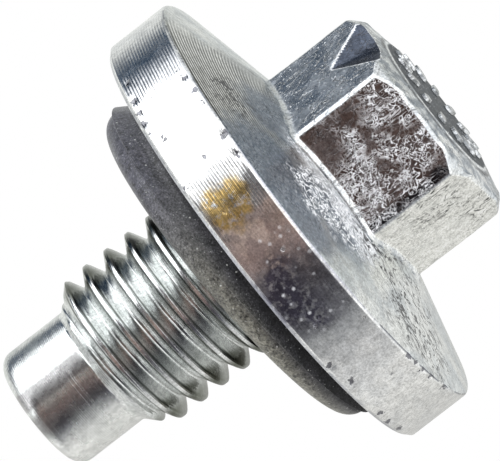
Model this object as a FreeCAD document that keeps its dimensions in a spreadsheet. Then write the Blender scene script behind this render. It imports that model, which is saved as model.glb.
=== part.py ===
# Oil drain plug: one cold-formed, zinc-plated steel plug and the moulded rubber ring seated in its flange.
# Lengths are millimetres and angles are degrees.
# The plug stands on its head: +Z runs along the axis from the head to the pilot end, and Z = 0 is the
# plane that the raised marks on the head rest on. One flat of the hexagon faces -Y.
import FreeCAD, Part
import math
import os
import Sketcher

doc = FreeCAD.newDocument("oil_drain_plug")

# Driving sizes
sizes = doc.addObject("Spreadsheet::Sheet", "Sizes")
DRIVING_SIZES = [
    # Hexagon head
    ("across_flats", 14.0, "wrench size of the hexagon"),
    ("corner_round", 0.55, "radius on the six upright corners of the hexagon"),
    ("crown_flat_radius", 4.9, "radius of the flat circle in the middle of the head's top"),
    ("crown_angle", 12.5, "slope of the crown from that flat circle towards the corners"),
    ("corner_fall_radius", 7.3, "radius past which the crown falls off steeply over the corners"),
    ("corner_fall_angle", 45.0, "slope of the crown over the corners"),
    ("crown_round", 0.45, "radius where the crown meets the flats"),
    ("head_length", 9.95, "from the head's flat top to the rim of the flange"),
    ("head_foot_round", 0.5, "fillet where the hexagon stands on the flange"),
    # Raised marks on the head: plain bars in a ring
    ("mark_height", 0.25, "how far the marks stand out of the flat top"),
    ("mark_ring_radius", 3.65, "radius of the circle through the middles of the marks"),
    ("mark_length", 1.7, "length of one mark along its radius"),
    ("mark_width", 0.8, "width of one mark"),
    ("mark_count", 14, "number of marks in the ring"),
    # Flange
    ("rim_radius", 16.0, "outside radius of the flange"),
    ("rim_height", 4.65, "height of the turned rim"),
    ("rim_chamfer", 0.3, "chamfer on the rim's edge towards the thread"),
    ("rim_round", 0.35, "radius on the rim's edge towards the head"),
    ("cone_angle", 14.6, "slope of the flange's top face up to the hexagon"),
    # Neck, thread and pilot
    ("neck_step", 0.55, "how far the plain neck lies below the thread's crests"),
    ("neck_round", 0.5, "fillet where the neck meets the flange"),
    ("neck_length", 3.2, "from the flange to where the thread stands out of the neck"),
    ("crest_radius", 5.9, "outside radius of the M12 thread"),
    ("thread_pitch", 1.75, "pitch of the M12 coarse thread"),
    ("thread_depth", 1.13, "depth of the thread groove"),
    ("crest_width", 0.26, "width of the flat left on each crest"),
    ("run_out_length", 1.25, "length over which the thread's root rises to the neck"),
    ("run_out_lead", 0.6, "how far that rise starts before the thread stands out of the neck"),
    ("crest_from_flange", 8.4, "height over the flange of one crest on the +X side"),
    ("end_cone_slope", 45.0, "slope of the cones that end the thread at both ends"),
    ("thread_end", 13.2, "from the flange to the foot of the pilot"),
    ("pilot_radius", 4.4, "plain pilot point"),
    ("pilot_length", 5.4, "length of the pilot point"),
    ("pilot_round", 1.0, "radius on the pilot's end"),
    # Rubber ring. It touches the groove's floor on the -X side and is not pressed home on the +X side
    ("seal_inner_radius", 7.5, "bore of the rubber ring"),
    ("seal_foot_radius", 12.3, "outside radius of the ring's foot, in the groove"),
    ("seal_lip_radius", 12.9, "outside radius of the ring at its mould line"),
    ("seal_bead_radius", 12.62, "outside radius of the bead past the mould line"),
    ("seal_standing", 2.55, "how far the ring stands out of the flange on the -X side"),
    ("seal_sunk", 1.3, "depth of the flange's groove"),
    ("seal_side_clearance", 0.08, "gap between the ring's foot and each wall of its groove"),
    ("seal_tilt", 2.25, "angle between the ring and the flange"),
    ("seal_outer_round", 1.15, "radius on the ring's outer free edge"),
    ("seal_inner_round", 0.8, "radius on the ring's inner free edge"),
    ("seal_flank_height", 0.3, "from the flange to where the ring's wall starts to widen"),
    ("mould_line_height", 1.2, "from the flange to the mould line, on the -X side"),
    ("mould_line_step", 0.1, "height of the small step at the mould line"),
    # Forging dent in one flat, near the head's top: a shallow bite of a cone whose tip lies on the flat
    ("dent_turn", -30.0, "direction of the dented flat around the axis"),
    ("dent_tip_depth", 3.7, "from the head's flat top down to the tip of the dent"),
    ("dent_half_angle", 59.0, "half angle of the cone that the dent follows"),
    ("dent_sink_angle", 12.5, "slope at which the dent's floor sinks below the flat"),
    ("dent_cone_length", 6.0, "length of that cone, past the head's edges"),
]
for row, (alias, value, meaning) in enumerate(DRIVING_SIZES, start=1):
    sizes.set(f"A{row}", alias)
    sizes.set(f"B{row}", str(value))
    sizes.setAlias(f"B{row}", alias)
    sizes.set(f"C{row}", meaning)

# Heights that several features share, worked out in the sheet from the driving sizes
WORKED_SIZES = [
    ("flange_level", "=mark_height + head_length + rim_height"),
    ("rim_top_level", "=mark_height + head_length"),
    ("cone_rise", "=rim_radius * tan(cone_angle * 1 deg)"),
    ("pilot_foot_level", "=flange_level + thread_end"),
    ("pilot_end_level", "=pilot_foot_level + pilot_length"),
    ("thread_foot_level", "=flange_level + neck_length"),
    ("corner_radius", "=across_flats / 2 / cos(30 deg)"),
    ("corner_centre_radius", "=(across_flats / 2 - corner_round) / cos(30 deg)"),
    ("seat_inner_radius", "=seal_inner_radius - seal_side_clearance"),
    ("seat_outer_radius", "=seal_foot_radius + seal_side_clearance"),
    ("neck_radius", "=crest_radius - neck_step"),
    ("root_radius", "=crest_radius - thread_depth"),
    ("relief_radius", "=root_radius - 0.1"),
    ("full_neck_level", "=thread_foot_level - run_out_lead"),
    ("relief_level", "=full_neck_level - 0.2"),
]
for row, (alias, formula) in enumerate(WORKED_SIZES, start=len(DRIVING_SIZES) + 2):
    sizes.set(f"A{row}", alias)
    sizes.set(f"B{row}", formula)
    sizes.setAlias(f"B{row}", alias)
doc.recompute()


def size(alias):
    """Return one size of the sheet as a plain number."""
    value = getattr(sizes, alias)
    return float(getattr(value, "Value", value))


def new_body(name):
    """Start a body whose label is the name of its piece."""
    body = doc.addObject("PartDesign::Body", name)
    body.Label = name
    return body


def origin_plane(body, role):
    """Find one of the body's own origin planes."""
    for feature in body.Origin.OriginFeatures:
        if feature.Role == role:
            return feature
    raise RuntimeError(f"{body.Label} has no {role}")


def new_sketch(body, name, role, offset_formula=None):
    """Attach a sketch to an origin plane, moved along the plane's normal by a formula if one is given."""
    sketch = body.newObject("Sketcher::SketchObject", name)
    sketch.AttachmentSupport = [(origin_plane(body, role), "")]
    sketch.MapMode = "FlatFace"
    if offset_formula:
        sketch.setExpression("AttachmentOffset.Base.z", offset_formula)
    return sketch


def pin_point(sketch, line, end, across, along):
    """Tie one end of a line to two formulas: its distance from each axis of the sketch."""
    for kind, formula, axis in (("DistanceX", across, -2), ("DistanceY", along, -1)):
        if formula == "0":
            sketch.addConstraint(Sketcher.Constraint("PointOnObject", line, end, axis))
            continue
        guess = sketch.Geometry[line].StartPoint
        value = guess.x if kind == "DistanceX" else guess.y
        number = sketch.addConstraint(Sketcher.Constraint(kind, -1, 1, line, end, value))
        sketch.setExpression(f"Constraints[{number}]", formula)


def formula_value(formula):
    """Work a formula out once, for the place where a sketch line is first drawn."""
    if formula == "0":
        return 0.0
    value = sizes.evalExpression(formula.replace("Sizes.", ""))
    return float(getattr(value, "Value", value))


def closed_profile(sketch, corners):
    """Draw a closed outline through corners given as pairs of formulas, and tie each corner to them."""
    points = [FreeCAD.Vector(formula_value(a), formula_value(b), 0) for a, b in corners]
    count = len(points)
    for index in range(count):
        sketch.addGeometry(Part.LineSegment(points[index], points[(index + 1) % count]))
    for index in range(count):
        following = (index + 1) % count
        sketch.addConstraint(Sketcher.Constraint("Coincident", index, 2, following, 1))
    for index, (across, along) in enumerate(corners):
        pin_point(sketch, index, 1, across, along)
    return sketch


def revolve(body, name, sketch, kind="PartDesign::Revolution"):
    """Turn a sketch once round the body's Z axis, as added or as removed material."""
    turned = body.newObject(kind, name)
    turned.Profile = sketch
    turned.ReferenceAxis = (sketch, ["V_Axis"])
    turned.Angle = 360.0
    doc.recompute()
    return turned


def edge_names(feature, chosen):
    """Name the edges of a feature for which chosen(edge) is true."""
    names = []
    for number, edge in enumerate(feature.Shape.Edges, start=1):
        if chosen(edge):
            names.append(f"Edge{number}")
    if not names:
        raise RuntimeError(f"no edge found on {feature.Label}")
    return names


def dress(body, name, base, chosen, radius_formula, kind="PartDesign::Fillet"):
    """Round or chamfer chosen edges by a size of the sheet."""
    dressed = body.newObject(kind, name)
    dressed.Base = (base, edge_names(base, chosen))
    dressed.setExpression("Radius" if kind.endswith("Fillet") else "Size", radius_formula)
    doc.recompute()
    return dressed


def is_circle(edge, radius, level):
    """Tell a full turned edge by its radius and its height."""
    curve = edge.Curve
    if not isinstance(curve, Part.Circle) or abs(curve.Radius - radius) > 0.01:
        return False
    return abs(curve.Center.z - level) < 0.01


# The plug, one solid
plug = new_body("drain_plug")

# Turned form: flange with its cone and seal groove, neck, blank for the thread, and pilot
blank_sketch = new_sketch(plug, "TurnedProfile", "YZ_Plane")
end_cone = "/ tan(Sizes.end_cone_slope * 1 deg)"
closed_profile(blank_sketch, [
    ("0", "Sizes.rim_top_level - Sizes.cone_rise"),
    ("Sizes.rim_radius", "Sizes.rim_top_level"),
    ("Sizes.rim_radius", "Sizes.flange_level"),
    ("Sizes.seat_outer_radius", "Sizes.flange_level"),
    ("Sizes.seat_outer_radius", "Sizes.flange_level - Sizes.seal_sunk"),
    ("Sizes.seat_inner_radius", "Sizes.flange_level - Sizes.seal_sunk"),
    ("Sizes.seat_inner_radius", "Sizes.flange_level"),
    ("Sizes.relief_radius", "Sizes.flange_level"),
    ("Sizes.relief_radius", "Sizes.relief_level"),
    ("Sizes.neck_radius", "Sizes.relief_level"),
    ("Sizes.neck_radius", "Sizes.thread_foot_level"),
    ("Sizes.crest_radius", f"Sizes.thread_foot_level + (Sizes.crest_radius - Sizes.neck_radius) {end_cone}"),
    ("Sizes.crest_radius", f"Sizes.pilot_foot_level - (Sizes.crest_radius - Sizes.pilot_radius) {end_cone}"),
    ("Sizes.pilot_radius", "Sizes.pilot_foot_level"),
    ("Sizes.pilot_radius", "Sizes.pilot_end_level"),
    ("0", "Sizes.pilot_end_level"),
])
blank = revolve(plug, "TurnedBlank", blank_sketch)

# Hexagon: six equal sides joined by corner arcs whose centres lie on one construction circle
hex_sketch = new_sketch(plug, "HexagonOutline", "XY_Plane", "Sizes.mark_height")
corner_round = size("corner_round")
centre_reach = size("corner_centre_radius")
flat_middle = size("across_flats") / 2
side_half = centre_reach * math.sin(math.radians(30))
for step in range(6):
    turn = FreeCAD.Rotation(FreeCAD.Vector(0, 0, 1), 60 * step)
    start = turn.multVec(FreeCAD.Vector(side_half, -flat_middle, 0))
    finish = turn.multVec(FreeCAD.Vector(-side_half, -flat_middle, 0))
    hex_sketch.addGeometry(Part.LineSegment(finish, start))
for step in range(6):
    centre_angle = math.radians(60 * step - 60)
    centre = FreeCAD.Vector(centre_reach * math.cos(centre_angle), centre_reach * math.sin(centre_angle), 0)
    corner_circle = Part.Circle(centre, FreeCAD.Vector(0, 0, 1), corner_round)
    half_turn = math.radians(30)
    hex_sketch.addGeometry(Part.ArcOfCircle(corner_circle, centre_angle - half_turn, centre_angle + half_turn))
centre_circle = Part.Circle(FreeCAD.Vector(0, 0, 0), FreeCAD.Vector(0, 0, 1), centre_reach)
circle = hex_sketch.addGeometry(centre_circle, True)
hex_sketch.addConstraint(Sketcher.Constraint("Coincident", circle, 3, -1, 1))
for step in range(6):
    arc = 6 + step
    hex_sketch.addConstraint(Sketcher.Constraint("Tangent", step, 2, arc, 1))
    hex_sketch.addConstraint(Sketcher.Constraint("Tangent", arc, 2, (step + 1) % 6, 1))
    hex_sketch.addConstraint(Sketcher.Constraint("PointOnObject", arc, 3, circle))
for step in range(1, 6):
    hex_sketch.addConstraint(Sketcher.Constraint("Equal", 6, 6 + step))
for step in range(1, 5):
    hex_sketch.addConstraint(Sketcher.Constraint("Equal", 0, step))
hex_sketch.addConstraint(Sketcher.Constraint("Horizontal", 0))
round_size = hex_sketch.addConstraint(Sketcher.Constraint("Radius", 6, corner_round))
hex_sketch.setExpression(f"Constraints[{round_size}]", "Sizes.corner_round")
centre_size = hex_sketch.addConstraint(Sketcher.Constraint("Radius", circle, centre_reach))
hex_sketch.setExpression(f"Constraints[{centre_size}]", "Sizes.corner_centre_radius")

hexagon = plug.newObject("PartDesign::Pad", "Hexagon")
hexagon.Profile = hex_sketch
hexagon.setExpression("Length", "Sizes.head_length")
doc.recompute()

# Crown: the head's top falls away gently from a flat circle, then steeply over the corners
crown_sketch = new_sketch(plug, "CrownProfile", "YZ_Plane")
crown_reach = "(Sizes.corner_radius + 1)"
gentle_fall = "(Sizes.corner_fall_radius - Sizes.crown_flat_radius) * tan(Sizes.crown_angle * 1 deg)"
steep_fall = f"({crown_reach} - Sizes.corner_fall_radius) * tan(Sizes.corner_fall_angle * 1 deg)"
closed_profile(crown_sketch, [
    ("Sizes.crown_flat_radius", "Sizes.mark_height"),
    (crown_reach, "Sizes.mark_height"),
    (crown_reach, f"Sizes.mark_height + {gentle_fall} + {steep_fall}"),
    ("Sizes.corner_fall_radius", f"Sizes.mark_height + {gentle_fall}"),
])
volume_before = hexagon.Shape.Volume
crown = revolve(plug, "Crown", crown_sketch, "PartDesign::Groove")
if crown.Shape.Volume >= volume_before:
    raise RuntimeError("the crown removed nothing")


def is_crown_edge(edge):
    """Tell the edges where the crown meets the six flats and their corners."""
    box = edge.BoundBox
    level = size("mark_height") + 0.2
    reach = max(math.hypot(vertex.X, vertex.Y) for vertex in edge.Vertexes)
    low_enough = box.ZMax < size("mark_height") + 2.0 and box.ZMin > level
    return low_enough and reach > size("across_flats") / 2 - 0.01


crown_round = dress(plug, "CrownRound", crown, is_crown_edge, "Sizes.crown_round")


def is_head_foot(edge):
    """Tell the edges where the hexagon stands on the flange's cone."""
    box = edge.BoundBox
    reach = [math.hypot(vertex.X, vertex.Y) for vertex in edge.Vertexes]
    low = size("mark_height") + 0.6 * size("head_length")
    near_hexagon = max(reach) < size("corner_radius") + 0.1 and min(reach) > size("across_flats") / 2 - 0.1
    return near_hexagon and box.ZMin > low and box.ZMax < size("rim_top_level") and box.ZLength < 1.0


head_foot = dress(plug, "HeadFoot", crown_round, is_head_foot, "Sizes.head_foot_round")

# Turned edges of the flange, the neck and the pilot
rim_round = dress(
    plug, "RimRound", head_foot,
    lambda edge: is_circle(edge, size("rim_radius"), size("rim_top_level")), "Sizes.rim_round")
rim_chamfer = dress(
    plug, "RimChamfer", rim_round,
    lambda edge: is_circle(edge, size("rim_radius"), size("flange_level")),
    "Sizes.rim_chamfer", "PartDesign::Chamfer")
pilot_round = dress(
    plug, "PilotRound", rim_chamfer,
    lambda edge: is_circle(edge, size("pilot_radius"), size("pilot_end_level")), "Sizes.pilot_round")

# Dent: a cone with its tip sunk a hair into the flat, opening outwards and towards the head's top
dent = plug.newObject("PartDesign::SubtractiveCone", "ForgingDent")
dent.AttachmentSupport = [(origin_plane(plug, "XY_Plane"), "")]
dent.MapMode = "FlatFace"
TIP_SINK = 0.02
tip_reach = f"(Sizes.across_flats / 2 - {TIP_SINK})"
dent.Radius1 = 0.0
dent.setExpression("Radius2", "Sizes.dent_cone_length * tan(Sizes.dent_half_angle * 1 deg)")
dent.setExpression("Height", "Sizes.dent_cone_length")
dent.setExpression("AttachmentOffset.Base.x", f"{tip_reach} * cos(Sizes.dent_turn * 1 deg)")
dent.setExpression("AttachmentOffset.Base.y", f"{tip_reach} * sin(Sizes.dent_turn * 1 deg)")
dent.setExpression("AttachmentOffset.Base.z", "Sizes.mark_height + Sizes.dent_tip_depth")
dent_tilt = 180 - (size("dent_half_angle") - size("dent_sink_angle"))
dent.AttachmentOffset = FreeCAD.Placement(
    dent.AttachmentOffset.Base, FreeCAD.Rotation(size("dent_turn"), dent_tilt, 0))
volume_before = pilot_round.Shape.Volume
plug.Tip = dent
doc.recompute()
if dent.Shape.Volume >= volume_before - 0.1:
    raise RuntimeError("the dent removed nothing")

# Raised marks: one plain bar with round ends, then a ring of them
mark_sketch = new_sketch(plug, "MarkOutline", "XY_Plane", "Sizes.mark_height")
half_width = size("mark_width") / 2
inner_end = size("mark_ring_radius") - size("mark_length") / 2 + half_width
outer_end = size("mark_ring_radius") + size("mark_length") / 2 - half_width
side_a = mark_sketch.addGeometry(Part.LineSegment(
    FreeCAD.Vector(inner_end, -half_width, 0), FreeCAD.Vector(outer_end, -half_width, 0)))
side_b = mark_sketch.addGeometry(Part.LineSegment(
    FreeCAD.Vector(outer_end, half_width, 0), FreeCAD.Vector(inner_end, half_width, 0)))
outer_arc = mark_sketch.addGeometry(Part.ArcOfCircle(
    Part.Circle(FreeCAD.Vector(outer_end, 0, 0), FreeCAD.Vector(0, 0, 1), half_width), -math.pi / 2, math.pi / 2))
inner_arc = mark_sketch.addGeometry(Part.ArcOfCircle(
    Part.Circle(FreeCAD.Vector(inner_end, 0, 0), FreeCAD.Vector(0, 0, 1), half_width), math.pi / 2, 3 * math.pi / 2))
mark_sketch.addConstraint(Sketcher.Constraint("Tangent", side_a, 2, outer_arc, 1))
mark_sketch.addConstraint(Sketcher.Constraint("Tangent", outer_arc, 2, side_b, 1))
mark_sketch.addConstraint(Sketcher.Constraint("Tangent", side_b, 2, inner_arc, 1))
mark_sketch.addConstraint(Sketcher.Constraint("Tangent", inner_arc, 2, side_a, 1))
mark_sketch.addConstraint(Sketcher.Constraint("PointOnObject", outer_arc, 3, -1))
mark_sketch.addConstraint(Sketcher.Constraint("PointOnObject", inner_arc, 3, -1))
end_size = mark_sketch.addConstraint(Sketcher.Constraint("Radius", outer_arc, half_width))
mark_sketch.setExpression(f"Constraints[{end_size}]", "Sizes.mark_width / 2")
outer_place = mark_sketch.addConstraint(Sketcher.Constraint("DistanceX", -1, 1, outer_arc, 3, outer_end))
mark_sketch.setExpression(
    f"Constraints[{outer_place}]", "Sizes.mark_ring_radius + (Sizes.mark_length - Sizes.mark_width) / 2")
inner_place = mark_sketch.addConstraint(Sketcher.Constraint("DistanceX", -1, 1, inner_arc, 3, inner_end))
mark_sketch.setExpression(
    f"Constraints[{inner_place}]", "Sizes.mark_ring_radius - (Sizes.mark_length - Sizes.mark_width) / 2")

mark = plug.newObject("PartDesign::Pad", "Mark")
mark.Profile = mark_sketch
mark.Reversed = True
mark.setExpression("Length", "Sizes.mark_height")
doc.recompute()

marks = plug.newObject("PartDesign::PolarPattern", "MarkRing")
marks.Originals = [mark]
marks.Axis = (mark_sketch, ["N_Axis"])
marks.Angle = 360.0
marks.setExpression("Occurrences", "Sizes.mark_count")
plug.Tip = marks
doc.recompute()

# Thread: a groove swept along a right-hand helix. It starts in the open, beside the thin neck of the
# blank, and ends in the open, beside the pilot, so it leaves no step at either end
OVERSHOOT = 0.1
half_mouth = "(Sizes.thread_pitch - Sizes.crest_width) / 2"
half_root = f"({half_mouth} - Sizes.thread_depth * tan(30 deg))"
half_cutter = f"({half_mouth} + {OVERSHOOT} * tan(30 deg))"
groove_on_y = size("crest_from_flange") + 0.75 * size("thread_pitch")
turns_down = math.floor((groove_on_y - size("thread_pitch") / 2) / size("thread_pitch"))
groove_start = f"(Sizes.flange_level + Sizes.crest_from_flange + (0.75 - {turns_down}) * Sizes.thread_pitch)"
thread_span = size("thread_end") + size("thread_pitch") - (groove_on_y - turns_down * size("thread_pitch"))

groove_section = new_sketch(plug, "GrooveSection", "YZ_Plane")
closed_profile(groove_section, [
    (f"Sizes.crest_radius + {OVERSHOOT}", f"{groove_start} - {half_cutter}"),
    (f"Sizes.crest_radius + {OVERSHOOT}", f"{groove_start} + {half_cutter}"),
    ("Sizes.root_radius", f"{groove_start} + {half_root}"),
    ("Sizes.root_radius", f"{groove_start} - {half_root}"),
])
volume_before = marks.Shape.Volume
thread = plug.newObject("PartDesign::SubtractiveHelix", "Thread")
thread.Profile = groove_section
thread.ReferenceAxis = (groove_section, ["V_Axis"])
thread.Mode = 1
thread.setExpression("Pitch", "Sizes.thread_pitch")
thread.Turns = math.ceil(thread_span / size("thread_pitch"))
thread.LeftHanded = False
plug.Tip = thread
doc.recompute()
if thread.Shape.Volume >= volume_before - 1.0:
    raise RuntimeError("the thread removed nothing")

# Neck: full size up to the thread, then a cone that lifts the thread's root where a rolled thread runs out
neck_sketch = new_sketch(plug, "NeckProfile", "YZ_Plane")
closed_profile(neck_sketch, [
    ("0", "Sizes.flange_level - Sizes.seal_sunk"),
    ("Sizes.neck_radius", "Sizes.flange_level - Sizes.seal_sunk"),
    ("Sizes.neck_radius", "Sizes.full_neck_level"),
    ("Sizes.relief_radius", "Sizes.full_neck_level + Sizes.run_out_length"),
    ("0", "Sizes.full_neck_level + Sizes.run_out_length"),
])
neck = revolve(plug, "Neck", neck_sketch)
neck_round = dress(
    plug, "NeckRound", neck,
    lambda edge: is_circle(edge, size("neck_radius"), size("flange_level")), "Sizes.neck_round")

# The rubber ring, one solid, seated in the flange's groove
seal = new_body("seal_ring")
seal_sketch = new_sketch(seal, "RingProfile", "XZ_Plane")
seal_free_level = "(Sizes.flange_level + Sizes.seal_standing)"
mould_level = "(Sizes.flange_level + Sizes.mould_line_height)"
closed_profile(seal_sketch, [
    ("Sizes.seal_inner_radius", "Sizes.flange_level - Sizes.seal_sunk"),
    ("Sizes.seal_foot_radius", "Sizes.flange_level - Sizes.seal_sunk"),
    ("Sizes.seal_foot_radius", "Sizes.flange_level + Sizes.seal_flank_height"),
    ("Sizes.seal_lip_radius", mould_level),
    ("Sizes.seal_bead_radius", f"{mould_level} + Sizes.mould_line_step"),
    ("Sizes.seal_bead_radius", seal_free_level),
    ("Sizes.seal_inner_radius", seal_free_level),
])
ring = revolve(seal, "Ring", seal_sketch)
seal_top = size("flange_level") + size("seal_standing")
outer_bead = dress(
    seal, "OuterBead", ring,
    lambda edge: is_circle(edge, size("seal_bead_radius"), seal_top), "Sizes.seal_outer_round")
inner_bead = dress(
    seal, "InnerBead", outer_bead,
    lambda edge: is_circle(edge, size("seal_inner_radius"), seal_top), "Sizes.seal_inner_round")

# Tilt the ring about its foot's edge on the -X side, so that the +X side lifts off the groove's floor
foot_edge = FreeCAD.Vector(-size("seal_foot_radius"), 0, size("flange_level") - size("seal_sunk"))
tilt = FreeCAD.Rotation(FreeCAD.Vector(0, -1, 0), size("seal_tilt"))
seal.Placement = FreeCAD.Placement(foot_edge - tilt.multVec(foot_edge), tilt)

# Check every object, then write one file for each piece
doc.recompute()
for item in doc.Objects:
    if "Invalid" in item.State or "Error" in item.State:
        raise RuntimeError(f"{item.Label} failed: {item.State}")
os.makedirs("parts", exist_ok=True)
for piece in (plug, seal):
    shape = piece.Shape
    if shape.isNull() or not shape.isValid() or len(shape.Solids) != 1:
        raise RuntimeError(f"{piece.Label} is not one valid solid")
    shape.exportStep(f"parts/{piece.Label}.step")
    print(piece.Label, "volume", round(shape.Volume, 1), "box", shape.BoundBox)
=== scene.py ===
# %% [markdown]
# # An oil drain plug, from packed frame to finished picture
# This file is read from top to bottom, like a notebook. The CAD model gives the real sizes and the
# place of each piece. Here the same forms are rebuilt with clean, even meshes, because a bright plated
# surface shows every crooked facet, and then they get their metal, rubber and wear.

# %% Load the packed model
import math
import bmesh
import bpy
import numpy as np
from mathutils import Matrix, Vector, noise


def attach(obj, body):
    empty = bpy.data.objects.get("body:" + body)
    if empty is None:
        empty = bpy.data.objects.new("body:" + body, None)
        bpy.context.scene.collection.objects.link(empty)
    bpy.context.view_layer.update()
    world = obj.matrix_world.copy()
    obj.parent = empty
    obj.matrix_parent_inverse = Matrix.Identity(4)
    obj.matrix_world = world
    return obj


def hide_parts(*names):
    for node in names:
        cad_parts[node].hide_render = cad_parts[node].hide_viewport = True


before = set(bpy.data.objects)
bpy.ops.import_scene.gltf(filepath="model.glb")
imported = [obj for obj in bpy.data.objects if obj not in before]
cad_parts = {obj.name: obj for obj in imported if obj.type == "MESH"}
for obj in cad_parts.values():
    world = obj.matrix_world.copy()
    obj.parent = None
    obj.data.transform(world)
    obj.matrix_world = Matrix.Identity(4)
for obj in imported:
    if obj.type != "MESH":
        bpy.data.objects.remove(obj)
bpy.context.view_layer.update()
MM = 0.001

# %% [markdown]
# ## Sizes
# These are the real sizes of the part in millimetres, the same that its source uses. The plug stands on
# its head: +Z runs from the head to the pilot point, and one flat of the hexagon faces -Y.

# %% Sizes of the plug and of its rubber ring
MARK_HEIGHT = 0.25
HEAD_LENGTH = 9.95
RIM_HEIGHT = 4.65
THREAD_END = 13.2
PILOT_LENGTH = 5.4
RIM_TOP = MARK_HEIGHT + HEAD_LENGTH
FLANGE = RIM_TOP + RIM_HEIGHT
PILOT_FOOT = FLANGE + THREAD_END
PILOT_END = PILOT_FOOT + PILOT_LENGTH
HALF_FLATS = 7.0
CORNER_ROUND = 0.55
CROWN_FLAT_RADIUS = 4.9
CROWN_SLOPE = math.radians(12.5)
CORNER_FALL_RADIUS = 7.3
CORNER_FALL_SLOPE = math.radians(45)
CROWN_ROUND = 0.45
FOOT_ROUND = 0.5
CONE_SLOPE = math.radians(14.6)
RIM_RADIUS = 16.0
RIM_ROUND = 0.35
RIM_CHAMFER = 0.3
GROOVE_DEPTH = 1.3
GROOVE_OUTER = 12.38
GROOVE_INNER = 7.42
CREST_RADIUS = 5.9
NECK_RADIUS = CREST_RADIUS - 0.55
NECK_ROUND = 0.5
NECK_LENGTH = 3.2
PITCH = 1.75
THREAD_DEPTH = 1.13
CREST_WIDTH = 0.26
RUN_OUT_LENGTH = 1.25
RUN_OUT_LEAD = 0.6
CREST_FROM_FLANGE = 8.4
PILOT_RADIUS = 4.4
PILOT_ROUND = 1.0
SEAL_INNER = 7.5
SEAL_FOOT = 12.3
SEAL_LIP = 12.9
SEAL_BEAD = 12.62
SEAL_STANDING = 2.55
SEAL_FLANK = 0.3
MOULD_LINE = 1.2
MOULD_STEP = 0.1
SEAL_OUTER_ROUND = 1.15
SEAL_INNER_ROUND = 0.8
SEAL_TILT = math.radians(2.25)
print("over all length in mm", PILOT_END)

# %% [markdown]
# ## Camera
# The photograph was taken with a long lens, a little from below the plane that the plug stands on, and
# turned so that the plug lies across the picture. A camera is its place and three directions. Two of
# them are found by turning the plug's own axes in the picture, so nothing is guessed by eye later.

# %% Camera at the photograph's view
PICTURE_WIDTH = 500
PICTURE_HEIGHT = 461
SENSOR_WIDTH = 36.0
CAMERA_DISTANCE = 420.0
CAMERA_BELOW = math.radians(8.013)
CAMERA_ROLL = math.radians(37.869)
CAMERA_SIDE = math.radians(0.399)
PIXELS_PER_MM = 15.336
PIVOT = Vector((0, 0, 15.9))
PIVOT_PIXEL = (248.49, 251.92)
focal_pixels = PIXELS_PER_MM * CAMERA_DISTANCE

to_camera = Vector((
    math.sin(CAMERA_SIDE) * math.cos(CAMERA_BELOW),
    -math.cos(CAMERA_SIDE) * math.cos(CAMERA_BELOW),
    -math.sin(CAMERA_BELOW)))
camera_place = PIVOT + CAMERA_DISTANCE * to_camera


def picture_axes(forward):
    """Return the directions of the picture's columns and rows for a view along forward."""
    upright = (Vector((0, 0, 1)) - forward * forward.z).normalized()
    right = forward.cross(upright)
    columns = -upright * math.cos(CAMERA_ROLL) - right * math.sin(CAMERA_ROLL)
    rows = upright * math.sin(CAMERA_ROLL) - right * math.cos(CAMERA_ROLL)
    return columns, rows


columns, rows = picture_axes(-to_camera)
off_x = PIVOT_PIXEL[0] - PICTURE_WIDTH / 2
off_y = PIVOT_PIXEL[1] - PICTURE_HEIGHT / 2
forward = (-to_camera - (columns * off_x + rows * off_y) / focal_pixels).normalized()
columns = (columns - forward * columns.dot(forward)).normalized()
rows = forward.cross(columns)
camera_data = bpy.data.cameras.new("photo_camera")
camera_data.sensor_width = SENSOR_WIDTH
camera_data.lens = focal_pixels * SENSOR_WIDTH / PICTURE_WIDTH
camera_data.clip_start = 0.01
camera_data.clip_end = 20.0
camera = bpy.data.objects.new("photo_camera", camera_data)
turn = Matrix((columns, -rows, -forward)).transposed()
camera.matrix_world = Matrix.Translation(camera_place * MM) @ turn.to_4x4()
bpy.context.scene.collection.objects.link(camera)
bpy.context.scene.camera = camera
print("lens in mm", round(camera_data.lens, 1))

# %% [markdown]
# A stain or a nick could be placed by eye, in numbers that mean nothing. It is easier to read and to mend
# if it is named by its pixel in the photograph. A ray from the camera through the pixel is followed until
# it meets the turned rim, the cone, or a flat of the hexagon.

# %% Place a pixel of the photograph on the metal
RAY_LEAD = 20
RAY_STEP = 0.01
RAY_STEPS = 4000
MIDDLE_OF_RIM = (275, 255)


def pixel_ray(pixel):
    """Return the direction in which the camera sees a pixel."""
    across = (pixel[0] - PICTURE_WIDTH / 2) / focal_pixels
    down = (pixel[1] - PICTURE_HEIGHT / 2) / focal_pixels
    return (forward + columns * across + rows * down).normalized()


def on_rim(pixel):
    """Return the near point where a pixel's ray meets the turned rim."""
    ray = pixel_ray(pixel)
    a = ray.x ** 2 + ray.y ** 2
    b = camera_place.x * ray.x + camera_place.y * ray.y
    c = camera_place.x ** 2 + camera_place.y ** 2 - RIM_RADIUS ** 2
    reach = (-b - math.sqrt(max(b * b - a * c, 0.0))) / a
    return camera_place + ray * reach


def on_cone(pixel):
    """Return the near point where a pixel's ray meets the flange's conical top, by steps along the ray."""
    ray = pixel_ray(pixel)
    for step in range(RAY_STEPS):
        point = camera_place + ray * (CAMERA_DISTANCE - RAY_LEAD + step * RAY_STEP)
        radius = math.hypot(point.x, point.y)
        if radius < RIM_RADIUS and point.z > RIM_TOP - (RIM_RADIUS - radius) * math.tan(CONE_SLOPE):
            return point
    raise RuntimeError(f"no point of the cone at pixel {pixel}")


def on_flat(pixel, degrees):
    """Return the point where a pixel's ray meets the flat of the hexagon that faces a direction."""
    normal = Vector((math.cos(math.radians(degrees)), math.sin(math.radians(degrees)), 0))
    ray = pixel_ray(pixel)
    reach = (HALF_FLATS - camera_place.dot(normal)) / ray.dot(normal)
    return camera_place + ray * reach


print("middle of the rim", on_rim(MIDDLE_OF_RIM))

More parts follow.
